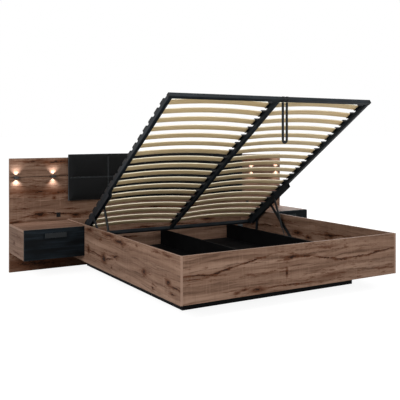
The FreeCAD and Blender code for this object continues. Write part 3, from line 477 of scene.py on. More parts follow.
def soften(width, *names):
    """Rounds the sharp edges of CAD nodes."""
    for name in names:
        piece = cad[name]
        weld = piece.modifiers.new("weld", "WELD")
        weld.merge_threshold = WELD_REACH
        flat = piece.modifiers.new("flat_faces", "DECIMATE")
        flat.decimate_type = "DISSOLVE"
        flat.angle_limit = FLAT_ANGLE
        bevel = piece.modifiers.new("soft_edges", "BEVEL")
        bevel.width = width
        bevel.segments = 2
        bevel.limit_method = "ANGLE"
        bevel.angle_limit = SHARP_ANGLE


print("edges sharper than", round(math.degrees(SHARP_ANGLE)), "degrees are softened")

# %% [markdown]
# Boards that were cut from one sheet, as the three of the headboard, share a material, so the grain runs on
# across their joints. All others get a sheet of their own. The headboard and the tables are a little darker.

# %% Dress the oak boards
BOARD_EDGE = 0.8 * MM
HEADBOARD = ("headboard_centre", "headboard_wing_left", "headboard_wing_right")
# Nodes, grain along, grain across, marks, how much darker.
BOARDS = (
    (("foot_panel",), "X", "Z", FOOT_MARKS, 0.0),
    (("head_panel",), "X", "Z", HEAD_PANEL_MARKS, 0.0),
    (("side_panel_left",), "Y", "Z", SIDE_MARKS, 0.0),
    (("side_panel_right",), "Y", "Z", SIDE_INNER_MARKS, 0.0),
    (HEADBOARD, "X", "Z", HEADBOARD_MARKS, 0.22),
    (("table_top_left",), "X", "Y", TABLE_MARKS, 0.2),
    (("table_top_right",), "X", "Y", TABLE_MARKS, 0.2),
    (("table_sides_left",), "Y", "Z", TABLE_SIDE_MARKS, 0.2),
    (("table_sides_right",), "Y", "Z", TABLE_SIDE_MARKS, 0.2),
    (("table_base_left",), "X", "Y", TABLE_MARKS, 0.0),
    (("table_base_right",), "X", "Y", TABLE_MARKS, 0.0),
)


def on_board(names, along, across, marks):
    """Marks with their shares of the boards' common face turned into metres."""
    boxes = [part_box(name) for name in names]
    placed = []
    for share_u, share_v, *rest in marks:
        place = []
        for axis, share in ((AXES[along], share_u), (AXES[across], share_v)):
            low = min(box[0][axis] for box in boxes)
            high = max(box[1][axis] for box in boxes)
            place.append(low + share * (high - low))
        placed.append((*place, *rest))
    return placed


spot_z = (sum(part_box("spotlights"), Vector()) / 2).z
for seed, (names, along, across, marks, darker) in enumerate(BOARDS, start=1):
    placed = on_board(names, along, across, marks)
    groove_z = spot_z if names is HEADBOARD else None
    dress(oak("oak_" + names[0], along, across, seed, placed, darker, groove_z), *names)
    soften(BOARD_EDGE, *names)
print("oak boards:", len(BOARDS))

# %% [markdown]
# ## Black oak drawer fronts
#
# The drawer fronts have the same kind of print in blue-black: grey streaks that are just visible, with
# darker fields between them. The knots of the brown print would be lost in the black, so there are none.
# The pores are drawn wider than real ones here too.

# %% Black oak laminate
BLACK_OAK, BLACK_OAK_STREAK = "#060a0d", "#1d242a"
BLACK_OAK_FIELD, BLACK_OAK_PORE = "#030405", "#050607"
BLACK_STREAKS_MM = (700, 21, 21)
BLACK_FIELDS_MM = (420, 110, 1000)
BLACK_PORES_MM = (70, 6, 12)
DRAWER_SHEETS = {"left": 21, "right": 22}


def black_oak(name, seed):
    """Black oak laminate with its grain along X."""
    made, tree, shader = new_finish(name, Roughness=0.55, Specular_IOR_Level=0.06)
    vector = board_coordinates(tree, "X", "Z", seed)[-1]
    streaks = stretched(tree, vector, BLACK_STREAKS_MM, 5.0, 0.65)
    fields = stretched(tree, vector, BLACK_FIELDS_MM, 3.0)
    pores = stretched(tree, vector, BLACK_PORES_MM, 2.0)
    colour = tinted(tree, srgb(BLACK_OAK), BLACK_OAK_STREAK, streaks, 0.32, 0.76)
    colour = tinted(tree, colour, BLACK_OAK_FIELD, fields, 0.44, 0.62, 0.85)
    colour = tinted(tree, colour, BLACK_OAK_PORE, pores, 0.58, 0.70, 0.7)
    skin(tree, shader, colour, streaks, 0.3, PRINT_RELIEF)
    return made


for side, seed in DRAWER_SHEETS.items():
    dress(black_oak("black_oak_" + side, seed), "drawer_front_" + side)
    soften(BOARD_EDGE, "drawer_front_" + side)
print("drawer fronts:", len(DRAWER_SHEETS))

# %% [markdown]
# ## Plain boards
#
# The plinth, the storage floor and the dividers are chipboard under black melamine, pressed against a
# textured plate, which leaves fine pebbles. The drawer boxes are wrapped in a plain brown foil. Pebbles of
# different sizes also make powder coats and moulded plastic, so one function draws them all: noise of the
# grain's size as relief, and slow clouds between two close colours, since no surface has just one. Real
# pebbles are some tenths of a millimetre wide, too fine to show, so they are drawn about ten times as wide.

# %% Black and plain boards
CLOUDS_MM = 140
INNER_EDGE = 0.6 * MM
BLACK_BOARDS = ("plinth_foot", "plinth_head", "plinth_runners", "storage_floor_left", "storage_floor_right",
                "divider_left", "divider_centre", "divider_right", "pad_board")


def pebbled(name, dark, light, grain_mm, roughness, depth_mm, gloss=0.5, **constants):
    """Coat or moulding: clouds between two colours, and pebbles of a grain and a depth in mm."""
    made, tree, shader = new_finish(name, Roughness=roughness, Specular_IOR_Level=gloss, **constants)
    place = add(tree, "TexCoord").outputs["Object"]
    pebbles = add(tree, "TexNoise", {"Vector": place, "Scale": 1 / (grain_mm * MM), "Detail": 2.0})
    clouds = add(tree, "TexNoise", {"Vector": place, "Scale": 1 / (CLOUDS_MM * MM), "Detail": 3.0})
    colour = tinted(tree, srgb(dark), light, clouds, 0.35, 0.68)
    skin(tree, shader, colour, pebbles, 0.35, depth_mm * MM)
    return made


# Melamine is hard but matt here: the pebbles scatter the light and leave hardly any gloss.
melamine = pebbled("black_melamine", "#060607", "#0a0a0b", grain_mm=1.2, roughness=0.7, depth_mm=0.15,
                   gloss=0.06)
dress(melamine, *BLACK_BOARDS)
soften(INNER_EDGE, *BLACK_BOARDS)
# Paper foil is duller than a laminate and even in colour.
foil = pebbled("brown_foil_board", "#5c4a3f", "#67544a", grain_mm=0.9, roughness=0.6, depth_mm=0.1)
dress(foil, "drawer_box_left", "drawer_box_right")
print("black boards:", len(BLACK_BOARDS))

# %% [markdown]
# ## Steel
#
# The tubes, channels and plates are mild steel under powder coats. Such a coat is sprayed on dry and melted,
# which leaves a satin skin with a faint orange peel, so the coats differ mainly in colour, grain and gloss.
# Bare steel shows only where it is plated.

# %% Coated and plated steel
BAR_EDGE, THIN_BAR_EDGE = 0.8 * MM, 0.5 * MM
HANDLES = ("drawer_handle_left", "drawer_handle_right")
FRAME_STEEL = ("rail_foot", "rail_head", "rail_left", "rail_right", "centre_bar", "lift_channel_left",
               "lift_channel_right", "hinge_plate_left", "hinge_plate_right", "rear_arms")
PLATED = ("corner_brackets", "fixing_screws", "frame_bolts", "drawer_runners_left", "drawer_runners_right",
          "drawer_rails_left", "drawer_rails_right")
# Name, darker and lighter colour, grain in mm, roughness, depth in mm, gloss, nodes.
COATS = (
    # Black coat of the slat frame: a broad soft sheen.
    ("black_powder_coat", "#191d20", "#20252a", 2.2, 0.45, 0.12, 0.1, FRAME_STEEL),
    # The front arms have the same coat in a greyer black.
    ("grey_powder_coat", "#1e2123", "#26292c", 2.0, 0.45, 0.12, 0.1, ("front_arms",)),
    # Enamel on the gas struts is sprayed wet, so it flows out smoother and shinier.
    ("strut_enamel", "#0d0e0f", "#121314", 3.0, 0.35, 0.05, 0.12, ("strut_cylinders",)),
    # Nitriding leaves a hard, smooth, dark oxide on the rods; the eye sees the oxide, so it isn't metallic.
    ("nitrided_rod_steel", "#1f2123", "#26292b", 40.0, 0.35, 0.01, 0.15, ("strut_rods",)),
    # Graphite coat on the drawer pulls: finer grain, a little more gloss.
    ("graphite_handle_coat", "#16191b", "#1c1f21", 1.5, 0.45, 0.08, 0.15, HANDLES),
    # Matt coat on the wall spots, near black.
    ("spot_matt_coat", "#0c0c0d", "#121213", 1.2, 0.5, 0.08, 0.5, ("spotlights",)),
)
for *coat, names in COATS:
    dress(pebbled(*coat), *names)
# Zinc plating comes from a bath: a mottled, slightly blue metal shine.
zinc = pebbled("zinc_plating", "#8f959a", "#aab0b4", grain_mm=5.0, roughness=0.34, depth_mm=0.05,
               Metallic=1.0)
dress(zinc, *PLATED)
soften(BAR_EDGE, *HANDLES, "front_arms")
soften(THIN_BAR_EDGE, "rear_arms")
print("coats:", len(COATS), "plated pieces:", len(PLATED))

# %% [markdown]
# ## Slats
#
# Sprung slats are glued from thin birch veneers and pressed to a bow. Their faces show straight, pale tan
# birch grain along the slat; their long edges show the layers as thin lighter and darker lines, drawn near
# white: partly the pale layers' own colour, partly a painted highlight. An edge is found from the surface
# normal: it points along the frame, whose tilt is measured between the middles of its two end rails. Slats
# come from different sheets, so their tone changes slowly from one to the next. Birch pores are hair fine
# and are drawn two millimetres wide to show.

# %% Birch slats
BIRCH_DARK, BIRCH_LIGHT, BIRCH_PALE, BIRCH_PORE = "#d9ba87", "#e9cea0", "#ead5a8", "#a08258"
LAYER_DARK, LAYER_PALE_AND_HIGHLIGHT = "#f0e2c2", "#fff8e6"
LAYER_MM = 1.3
# Sizes along the slat, along the frame and above it.
VENEER_MM = (330, 8, 50)
SLAT_TONE_MM = (2900, 105, math.inf)
BIRCH_PORES_MM = (33, 2.4, 17)
SLAT_EDGE = 0.8 * MM
VENEER_RELIEF = 0.3 * MM

foot_middle, head_middle = (sum(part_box(name), Vector()) / 2 for name in ("rail_foot", "rail_head"))
along_frame = (head_middle - foot_middle).normalized()
above_frame = Vector((0, -along_frame.z, along_frame.y))
birch, tree, shader = new_finish("layered_birch", Roughness=0.5, Specular_IOR_Level=0.35)
place = add(tree, "TexCoord").outputs
across = add(tree, "SeparateXYZ", {0: place["Object"]})
run = add(tree, "VectorMath", {0: place["Object"], 1: along_frame}, operation="DOT_PRODUCT")
rise = add(tree, "VectorMath", {0: place["Object"], 1: above_frame}, operation="DOT_PRODUCT")
on_slat = add(tree, "CombineXYZ", {0: across, 1: run.outputs["Value"], 2: rise.outputs["Value"]})
veneer = stretched(tree, on_slat, VENEER_MM, 4.0, 0.6)
colour = tinted(tree, srgb(BIRCH_DARK), BIRCH_LIGHT, veneer, 0.3, 0.7)
colour = tinted(tree, colour, BIRCH_PALE, stretched(tree, on_slat, SLAT_TONE_MM, 0.0), 0.35, 0.65, 0.35)
colour = tinted(tree, colour, BIRCH_PORE, stretched(tree, on_slat, BIRCH_PORES_MM, 2.0), 0.62, 0.76, 0.35)
layers = add(tree, "TexWave", {"Vector": on_slat, "Scale": math.pi / (10 * LAYER_MM * MM), "Distortion": 0.4},
             wave_type="BANDS", bands_direction="Z")
# Near-white edge layers: their own pale colour, and partly a painted highlight.
edge_layers_and_highlight = tinted(tree, srgb(LAYER_DARK), LAYER_PALE_AND_HIGHLIGHT, layers, 0.2, 0.8)
edge_on = add(tree, "VectorMath", {0: place["Normal"], 1: along_frame}, operation="DOT_PRODUCT")
edge_share = add(tree, "Math", {0: edge_on.outputs["Value"]}, operation="ABSOLUTE")
colour = tinted(tree, colour, edge_layers_and_highlight, edge_share, 0.55, 0.80)
skin(tree, shader, colour, veneer, 0.2, VENEER_RELIEF)
dress(birch, "slats_left", "slats_right")
soften(SLAT_EDGE, "slats_left", "slats_right")
print("slat frame lifted by", round(math.degrees(math.asin(-along_frame.z)), 3), "degrees")

# %% [markdown]
# The slat ends sit in holders of black moulded plastic, and the tube ends and the cable outlets have caps of
# the same. The mould's spark-eroded steel gives such pieces a fine, even grain and a dull gloss.

# %% Plastic holders and caps
PLASTIC = ("slat_holders_outer", "slat_holders_centre", "rail_end_caps", "cable_outlets")
PLASTIC_EDGE = 1.0 * MM

moulded = pebbled("black_moulded_plastic", "#0b0b0c", "#101112", grain_mm=1.0, roughness=0.5, depth_mm=0.1,
                  gloss=0.2)
dress(moulded, *PLASTIC)
soften(PLASTIC_EDGE, *PLASTIC)
print("plastic pieces:", len(PLASTIC))

# %% [markdown]
# ## Headboard cushion
#
# The cushion is foam under a black woven cover, sewn through along four upright seams and one level seam
# into ten flat pillows. It could be displaced by a texture, but real pillows get their shape from foam that
# pushes and seams that hold, so this one is a cloth simulation on a grid with extra lines beside the seams.
# The grid's rim rolls back over the foam's edge, and the ends are drawn in between the corners, as a cover
# under tension does.

# %% Front of the cushion
COLUMNS, ROWS = 5, 2
CROWN = 14 * MM
SEAM_PULL = 4 * MM
STEP = 12 * MM
BESIDE_SEAM = (2.5 * MM, 7 * MM)
DRAW_IN = 5 * MM
DRAW_IN_POWER = 6
ROLL = 14 * MM
SAME_LINE = 1e-4
pad_low, pad_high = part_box("headboard_cushion")
pad_middle, pad_half = (pad_low + pad_high) / 2, (pad_high - pad_low) / 2
seam_y = pad_low.y + CROWN


def grid_lines(low, high, fields):
    """Places of the grid lines: even within a field, with two more close to each seam."""
    size = (high - low) / fields
    lines = []
    for field in range(fields):
        start = low + field * size
        inner = [start + gap for gap in BESIDE_SEAM] + [start + size - gap for gap in BESIDE_SEAM]
        count = int((size - 2 * BESIDE_SEAM[1]) / STEP)
        even = [start + BESIDE_SEAM[1] + (size - 2 * BESIDE_SEAM[1]) * n / count for n in range(1, count)]
        lines += [start] + sorted(inner + even)
    return lines + [high]


def is_seam(value, low, high, fields):
    """Whether a grid line is a seam or a rim."""
    share = (value - low) / (high - low) * fields
    return abs(share - round(share)) < SAME_LINE


def drawn_in(x, z):
    """The pad's ends pull in between the corners."""
    pull = DRAW_IN * (1 - ((z - pad_middle.z) / pad_half.z) ** 2)
    return x * (1 - pull / pad_half.x * abs(x / pad_half.x) ** DRAW_IN_POWER)


lines_x = grid_lines(pad_low.x, pad_high.x, COLUMNS)
lines_z = grid_lines(pad_low.z, pad_high.z, ROWS)
last_x, last_z = len(lines_x) - 1, len(lines_z) - 1
verts, faces, seams = [], [], []
index = {}
for i, x in enumerate(lines_x):
    for k, z in enumerate(lines_z):
        rim = i in (0, last_x) or k in (0, last_z)
        sewn = is_seam(x, pad_low.x, pad_high.x, COLUMNS) or is_seam(z, pad_low.z, pad_high.z, ROWS)
        on_seam = sewn and not rim
        edge = min(x - pad_low.x, pad_high.x - x, z - pad_low.z, pad_high.z - z)
        roll = ROLL * (1 - math.sqrt(max(0.0, 1 - (1 - min(edge, ROLL) / ROLL) ** 2)))
        index[i, k] = len(verts)
        if on_seam:
            seams.append(len(verts))
        verts.append((drawn_in(x, z), seam_y + roll + (SEAM_PULL if on_seam else 0.0), z))
for i in range(last_x):
    for k in range(last_z):
        faces.append((index[i, k], index[i + 1, k], index[i + 1, k + 1], index[i, k + 1]))
front_count, front_faces = len(verts), len(faces)
print("front points:", front_count, "seam points:", len(seams))

# %% [markdown]
# Behind the rolled rim a straight wall runs back to the board, and a flat back closes the shape, because
# pressure needs a closed bag. The wall is made ring by ring from the points round the front's rim.

# %% Sides and back of the cushion
WALL_SHARES = (0.5, 1.0)
ring = [index[i, 0] for i in range(last_x + 1)]
ring += [index[last_x, k] for k in range(1, last_z + 1)]
ring += [index[i, last_z] for i in range(last_x - 1, -1, -1)]
ring += [index[0, k] for k in range(last_z - 1, 0, -1)]
glued = ring
for share in WALL_SHARES:
    layer = []
    for point in ring:
        x, y, z = verts[point]
        layer.append(len(verts))
        verts.append((x, y + share * (pad_high.y - y), z))
    for n in range(len(ring)):
        after = (n + 1) % len(ring)
        faces.append((glued[after], glued[n], layer[n], layer[after]))
    glued = layer
below = glued[:last_x + 1]
right_end = glued[last_x:last_x + last_z + 1]
above = glued[last_x + last_z:][:last_x + 1][::-1]
left_end = glued[len(glued) - last_z + 1:][::-1]
faces.append((below[1], below[0], *left_end, above[0], above[1]))
faces.append((*right_end, above[last_x - 1], below[last_x - 1]))
for i in range(1, last_x - 1):
    faces.append((below[i + 1], below[i], above[i], above[i + 1]))
cushion_mesh = bpy.data.meshes.new("headboard_cushion_cover")
cushion_mesh.from_pydata(verts, [], faces)
cushion = new_object("headboard_cushion_cover", cushion_mesh)
print("cushion points:", len(verts))

# %% [markdown]
# Now the bag is blown up. The seams and the glued back are pinned, there is no gravity, and pressure pushes
# the rest out for a few frames. The result is scaled down so that no pillow rises above the crown of the
# CAD cushion, and it becomes the mesh itself.

# %% Inflate the cushion
INFLATE_FRAMES = 16
CLOTH = {"quality": 6, "mass": 0.3, "tension_stiffness": 30, "compression_stiffness": 30,
         "shear_stiffness": 15, "bending_stiffness": 2, "use_pressure": True, "uniform_pressure_force": 4.0}
flat_shape = [Vector(v) for v in verts]
pins = cushion.vertex_groups.new(name="sewn_and_glued")
pins.add(seams + glued, 1.0, "REPLACE")
cloth = cushion.modifiers.new("cloth", "CLOTH")
for setting, value in CLOTH.items():
    setattr(cloth.settings, setting, value)
cloth.settings.vertex_group_mass = pins.name
cloth.settings.effector_weights.gravity = 0.0
cloth.point_cache.frame_start = 1
cloth.point_cache.frame_end = INFLATE_FRAMES
for step in range(1, INFLATE_FRAMES + 1):
    scene.frame_set(step)
shaped = cushion.evaluated_get(bpy.context.evaluated_depsgraph_get())
moved = [v.co.copy() for v in shaped.data.vertices]
cushion.modifiers.clear()
cushion.vertex_groups.clear()
scene.frame_set(1)
swell = max(flat_shape[n].y - moved[n].y for n in range(front_count))
for n, rest in enumerate(flat_shape):
    step = moved[n] - rest
    if n < front_count:
        step.y *= min(1.0, CROWN / max(swell, 1e-6))
    if step.length > CROWN:
        step *= CROWN / step.length
    cushion_mesh.vertices[n].co = rest + step
print("largest swell before the cap:", round(swell / MM, 1), "mm")
front_y = min(v.co.y for v in cushion_mesh.vertices)
print("cushion front at", round(front_y, 4), "CAD front at", round(pad_low.y, 4))

# %% [markdown]
# The cover is a plain weave of black yarn. Real yarns are about half a millimetre apart, too fine to show
# in the render, so the weave is drawn at two millimetres, and it mostly breaks up the gloss. Loose fibre
# ends give cloth a soft sheen at its rims. The side walls get the same weave in charcoal, a painted sheen:
# the lighter walls stand in for the light that the cushion's sides catch.

# %% Cover cloth
WEAVE_MM = 2.0
FADING_MM = 80
YARN_RELIEF = 0.3 * MM


def woven(name, dark, light, pitch_mm, axes, roughness, sheen):
    """Plain weave of two yarn directions."""
    made, tree, shader = new_finish(name, Roughness=roughness, Specular_IOR_Level=0.1, Sheen_Weight=sheen,
                                    Sheen_Roughness=0.4)
    place = add(tree, "TexCoord").outputs["Object"]
    waves = {"Vector": place, "Scale": math.pi / (10 * pitch_mm * MM), "Distortion": 0.3, "Detail": 1.0}
    yarns = [add(tree, "TexWave", waves, wave_type="BANDS", bands_direction=axis).outputs[1]
             for axis in axes]
    weave = add(tree, "Math", {0: yarns[0], 1: yarns[-1]}, operation="MULTIPLY")
    fading = add(tree, "TexNoise", {"Vector": place, "Scale": 1 / (FADING_MM * MM), "Detail": 4.0})
    mixed = add(tree, "Math", {0: weave, 1: fading}, operation="MULTIPLY")
    skin(tree, shader, tinted(tree, srgb(dark), light, mixed, 0.05, 0.5), weave, 0.3, YARN_RELIEF)
    return made


cover = woven("black_cover_weave", "#0a0b0c", "#121314", WEAVE_MM, "XZ", roughness=0.75, sheen=0.12)
# Painted sheen: the side walls are a lighter charcoal, standing in for the light that the cushion's sides and
# top catch.
sheen_wall_weave = woven("charcoal_boxing_weave", "#2a2e31", "#3a3f43", WEAVE_MM, "YZ", roughness=0.75,
                     sheen=0.12)
cushion_mesh.materials.append(cover)
cushion_mesh.materials.append(sheen_wall_weave)
sheen_walls = range(front_faces, front_faces + len(WALL_SHARES) * len(ring))
for polygon in cushion_mesh.polygons:
    polygon.use_smooth = len(polygon.vertices) == 4
    polygon.material_index = 1 if polygon.index in sheen_walls else 0
smooth = cushion.modifiers.new("smooth", "SUBSURF")
smooth.levels = smooth.render_levels = 1
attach(cushion, "bed_base")
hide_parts("headboard_cushion")
print("cover faces:", len(cushion_mesh.polygons), "of them boxing:", len(sheen_walls))

# %% [markdown]
# The seams are closed with a spun polyester thread, slightly lighter than the cover, on both sides: one short
# stitch after the other. A dashed line in the material would lie flat, so each stitch is a small barrel that
# starts and ends on the cover, where a ray from the front meets it.

# %% Thread
THREAD_RADIUS = 0.8 * MM
THREAD_SIDES = 6
# Shares of a stitch's length and of the thread's radius there.
BARREL = ((0.0, 0.45), (0.25, 0.95), (0.75, 0.95), (1.0, 0.45))
LOOK_FROM = 0.1
surface = BVHTree.FromObject(cushion, bpy.context.evaluated_depsgraph_get())


def bridge(mesh, first, second):
    """Faces between two rings of points."""
    for n in range(len(first)):
        after = (n + 1) % len(first)
        mesh.faces.new((first[n], first[after], second[after], second[n]))


def finished(name, mesh, material):
    """An object from a mesh that is done, with its faces turned outwards."""
    bmesh.ops.recalc_face_normals(mesh, faces=mesh.faces)
    data = bpy.data.meshes.new(name)
    mesh.to_mesh(data)
    mesh.free()
    data.materials.append(material)
    return new_object(name, data)


def add_stitch(mesh, start, end):
    """A short thread from start to end: a thin barrel, thickest in the middle."""
    along = (end - start).normalized()
    side = along.cross(Vector((0, 1, 0))).normalized()
    out = side.cross(along)
    turns = [math.tau * n / THREAD_SIDES for n in range(THREAD_SIDES)]
    rings = []
    for share, width in BARREL:
        middle, radius = start.lerp(end, share), THREAD_RADIUS * width
        rings.append([mesh.verts.new(middle + radius * (math.cos(turn) * side + math.sin(turn) * out))
                      for turn in turns])
    for first, second in zip(rings, rings[1:]):
        bridge(mesh, first, second)
    mesh.faces.new(rings[0][::-1])
    mesh.faces.new(rings[-1])


def on_cover(x, z):
    """Point on the cushion's front."""
    return surface.ray_cast(Vector((x, pad_low.y - LOOK_FROM, z)), Vector((0, 1, 0)))[0]


print("thread tools ready")

# %% [markdown]
# The rows of stitches run along both sides of each seam and end where the rim rolls back.

# %% Sew the seams
STITCH, STITCH_GAP, STITCH_SIDE = 7.0 * MM, 2.0 * MM, 4.0 * MM
TWIST_MM = 0.6
rows = []
for seam in range(1, COLUMNS):
    x = pad_low.x + seam * (pad_high.x - pad_low.x) / COLUMNS
    rows += [("z", x + way * STITCH_SIDE, pad_low.z + ROLL, pad_high.z - ROLL) for way in (-1, 1)]
for seam in range(1, ROWS):
    z = pad_low.z + seam * (pad_high.z - pad_low.z) / ROWS
    rows += [("x", z + way * STITCH_SIDE, pad_low.x + ROLL, pad_high.x - ROLL) for way in (-1, 1)]
thread_mesh = bmesh.new()
pitch = STITCH + STITCH_GAP
stitch_count = 0
for way, fixed, first, last in rows:
    for n in range(int((last - first) / pitch)):
        near = first + n * pitch
        ends = [on_cover(fixed, t) if way == "z" else on_cover(t, fixed) for t in (near, near + STITCH)]
        if all(ends):
            add_stitch(thread_mesh, *ends)
            stitch_count += 1
thread = woven("grey_thread", "#5a6063", "#737a7e", TWIST_MM, "XZ", roughness=0.6, sheen=0.0)
stitches = finished("cushion_stitches", thread_mesh, thread)
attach(stitches, "bed_base")
print("stitches:", stitch_count)

# %% [markdown]
# ## Pull strap
#
# The strap is flat black webbing, woven narrow with ribs across it. Its two legs are sewn round the foot
# rail and meet in a flat bend. A remesh would erase something this thin, so the section, a flat oval, is
# swept along the strap's line.

# %% Sweep a flat section
SECTION_POINTS = 16
FLAT_SIDES, ROUND_EDGES = 0.35, 0.7


def swept(name, path, width_ways, width, thick, closed, material):
    """Flat oval section swept along a path; width_ways gives the section's wide direction at each point."""
    shape = []
    for turn in range(SECTION_POINTS):
        c, s = math.cos(math.tau * turn / SECTION_POINTS), math.sin(math.tau * turn / SECTION_POINTS)
        shape.append((math.copysign(abs(c) ** FLAT_SIDES, c) * width / 2,
                      math.copysign(abs(s) ** ROUND_EDGES, s) * thick / 2))
    mesh = bmesh.new()
    rings = []
    for n, point in enumerate(path):
        wide = Vector(width_ways[n]).normalized()
        if closed:
            ahead = Vector(path[(n + 1) % len(path)]) - Vector(path[n - 1])
        else:
            ahead = Vector(path[min(n + 1, len(path) - 1)]) - Vector(path[max(n - 1, 0)])
        flat = wide.cross(ahead.normalized())
        rings.append([mesh.verts.new(Vector(point) + a * wide + b * flat) for a, b in shape])
    for first, second in zip(rings, rings[1:]):
        bridge(mesh, first, second)
    if closed:
        bridge(mesh, rings[-1], rings[0])
    else:
        mesh.faces.new(rings[0][::-1])
        mesh.faces.new(rings[-1])
    made = finished(name, mesh, material)
    for polygon in made.data.polygons:
        polygon.use_smooth = True
    return made


print("points round a section:", SECTION_POINTS)

# %% [markdown]
# The legs hang straight down, and the bend is a half circle between them. Polyester webbing has tight ribs
# and a dull sheen. Real ribs are half a millimetre wide, too fine to show, so they are drawn at 1.8 mm.

# %% Strap
RIB_MM = 1.8
LEG_GAP = 13 * MM
LEG_STEPS, BEND_STEPS = 12, 16
strap_low, strap_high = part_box("pull_strap")
strap_middle = (strap_low + strap_high) / 2
leg_width = (strap_high.x - strap_low.x - LEG_GAP) / 2
bend_radius = (LEG_GAP + leg_width) / 2
bend_z = strap_low.z + bend_radius + leg_width / 2
levels = [strap_high.z + (bend_z - strap_high.z) * n / LEG_STEPS for n in range(LEG_STEPS + 1)]
path = [(strap_middle.x - bend_radius, strap_middle.y, z) for z in levels]
wide = [(1, 0, 0)] * len(levels)
for n in range(1, BEND_STEPS):
    c, s = math.cos(math.pi * n / BEND_STEPS), math.sin(math.pi * n / BEND_STEPS)
    path.append((strap_middle.x - bend_radius * c, strap_middle.y, bend_z - bend_radius * s))
    wide.append((c, 0, s))
path += [(strap_middle.x + bend_radius, strap_middle.y, z) for z in levels[::-1]]
wide += [(-1, 0, 0)] * len(levels)

webbing = woven("black_webbing", "#0b0b0c", "#26282a", RIB_MM, "ZZ", roughness=0.6, sheen=0.15)
strap = swept("pull_strap_webbing", path, wide, leg_width, strap_high.y - strap_low.y, False, webbing)
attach(strap, "pull_strap")
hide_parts("pull_strap")
print("strap points:", len(path))

# %% [markdown]
# Each leg's end is turned once round the foot rail, a square tube with rounded corners, and sewn to itself.
# The turn is the same sweep, closed, along the outline of the tube. That outline is written once, with the
# corners as arcs, because the weld beads below follow it too.

# %% Bands round the foot rail
TUBE, TUBE_CORNER = 30 * MM, 3 * MM
BAND_THICK = 2 * MM
BAND_CORNER_STEPS = 6


def tube_outline(radius, corner_steps, flat_steps):
    """Points round a square tube, from its middle, with corners of a radius and steps along the flats."""
    half = TUBE / 2 - TUBE_CORNER
    arcs = []
    for quarter, (c, s) in enumerate(((1, 1), (-1, 1), (-1, -1), (1, -1))):
        turns = [math.pi / 2 * (quarter + n / corner_steps) for n in range(corner_steps + 1)]
        arcs.append([Vector((c * half + radius * math.cos(turn), s * half + radius * math.sin(turn)))
                     for turn in turns])
    points = []
    for arc, after in zip(arcs, arcs[1:] + arcs[:1]):
        points += arc + [arc[-1].lerp(after[0], n / flat_steps) for n in range(1, flat_steps)]
    return points


for number, way in enumerate((-1, 1), start=1):
    middle = Vector((strap_middle.x + way * bend_radius, foot_middle.y, foot_middle.z))
    points = [middle + spot.x * along_frame + spot.y * above_frame
              for spot in tube_outline(TUBE_CORNER + BAND_THICK / 2, BAND_CORNER_STEPS, 1)]
    ways = [(1, 0, 0)] * len(points)
    band = swept("strap_band_" + str(number), points, ways, leg_width, BAND_THICK, True, webbing)
    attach(band, "lift_frame")
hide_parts("strap_bands")

# %% [markdown]
# ## Weld beads
#
# The side rails and the centre bar are welded to the foot rail and the head rail. A bead of weld runs round
# each of the six joints, about three times as wide as a tube's wall is thick, and the powder coat covers it.
# It could be a bump in the coat, but a bead stands proud of the tube, so it is swept round the tube's
# outline, with ripples where the welder's torch paused.

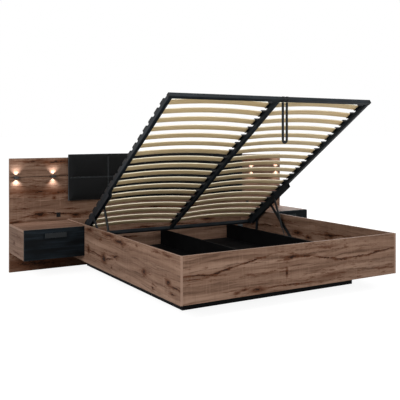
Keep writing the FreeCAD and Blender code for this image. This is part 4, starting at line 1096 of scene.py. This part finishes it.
# %% Beads round the tube joints
BEAD_WIDE, BEAD_HIGH = 5 * MM, 3 * MM
RIPPLE, RIPPLE_STEP = 0.35 * MM, 3 * MM
BEAD_CORNER_STEPS = 4
powder_coat = cad["rail_foot"].data.materials[0]
outline = tube_outline(TUBE_CORNER, BEAD_CORNER_STEPS, int((TUBE - 2 * TUBE_CORNER) / RIPPLE_STEP))
bead_count = 0
for name in ("rail_left", "rail_right", "centre_bar"):
    low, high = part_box(name)
    for end, middle, way in (("foot", foot_middle, 1), ("head", head_middle, -1)):
        joint = middle + way * TUBE / 2 * along_frame
        joint.x = (low.x + high.x) / 2
        points = []
        for n, spot in enumerate(outline):
            proud = spot * (1 + RIPPLE / TUBE * (-1) ** n)
            points.append(joint + proud.x * Vector((1, 0, 0)) + proud.y * above_frame)
        ways = [along_frame] * len(points)
        bead = swept("weld_bead_" + name + "_" + end, points, ways, BEAD_WIDE, BEAD_HIGH, True, powder_coat)
        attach(bead, "lift_frame")
        bead_count += 1
print("weld beads:", bead_count)

# %% [markdown]
# ## Wall spots
#
# Each small black block throws warm light up and down the headboard through two lenses of frosted acrylic,
# which hide the diode behind them. The lens glows, and a tiny spot lamp in each mouth makes the lobes on the
# wood, because a glowing disc this small would only give noise. All lenses are one CAD piece, so the places
# of the blocks are read from the gaps between its points.

# %% Lit lenses
LENS_DEEP, LENS_PALE, LENS_GLOW = "#fff1dc", "#fff8ec", "#fff0dc"
LENS_STRENGTH = 2.0
LAMP_COLOUR = "#f6f4f6"
LAMP_WATTS = 2.8
LAMP_LIFT, LAMP_RADIUS = 9 * MM, 4 * MM
LAMP_CONE = math.radians(112)
BLOCKS_APART = 50 * MM
frosted = pebbled("frosted_acrylic_lens", LENS_DEEP, LENS_PALE, grain_mm=1.5, roughness=0.3, depth_mm=0.2,
                  Emission_Color=srgb(LENS_GLOW), Emission_Strength=LENS_STRENGTH)
dress(frosted, "spotlight_lenses")

lens_middle = sum(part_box("spotlight_lenses"), Vector()) / 2
blocks = []
for x in sorted(v.co.x for v in cad["spotlight_lenses"].data.vertices):
    if not blocks or x - blocks[-1][-1] > BLOCKS_APART:
        blocks.append([])
    blocks[-1].append(x)
block_places = [(block[0] + block[-1]) / 2 for block in blocks]
for x in block_places:
    for way in (-1, 1):
        lamp = bpy.data.lights.new("wall_spot", "SPOT")
        lamp.energy = LAMP_WATTS
        lamp.color = srgb(LAMP_COLOUR)[:3]
        lamp.spot_size = LAMP_CONE
        lamp.spot_blend = 1.0
        lamp.shadow_soft_size = LAMP_RADIUS
        wall_spot = new_object("wall_spot", lamp)
        wall_spot.location = (x, lens_middle.y, lens_middle.z + way * LAMP_LIFT)
        wall_spot.rotation_euler = (math.pi if way > 0 else 0, 0, 0)
print("wall spots at", [round(x, 3) for x in block_places])

# %% [markdown]
# ## Size
#
# The cushion and the webbing replace plain CAD solids, and they must not make the bed larger.

# %% Update the scene, and the end
bpy.context.view_layer.update()
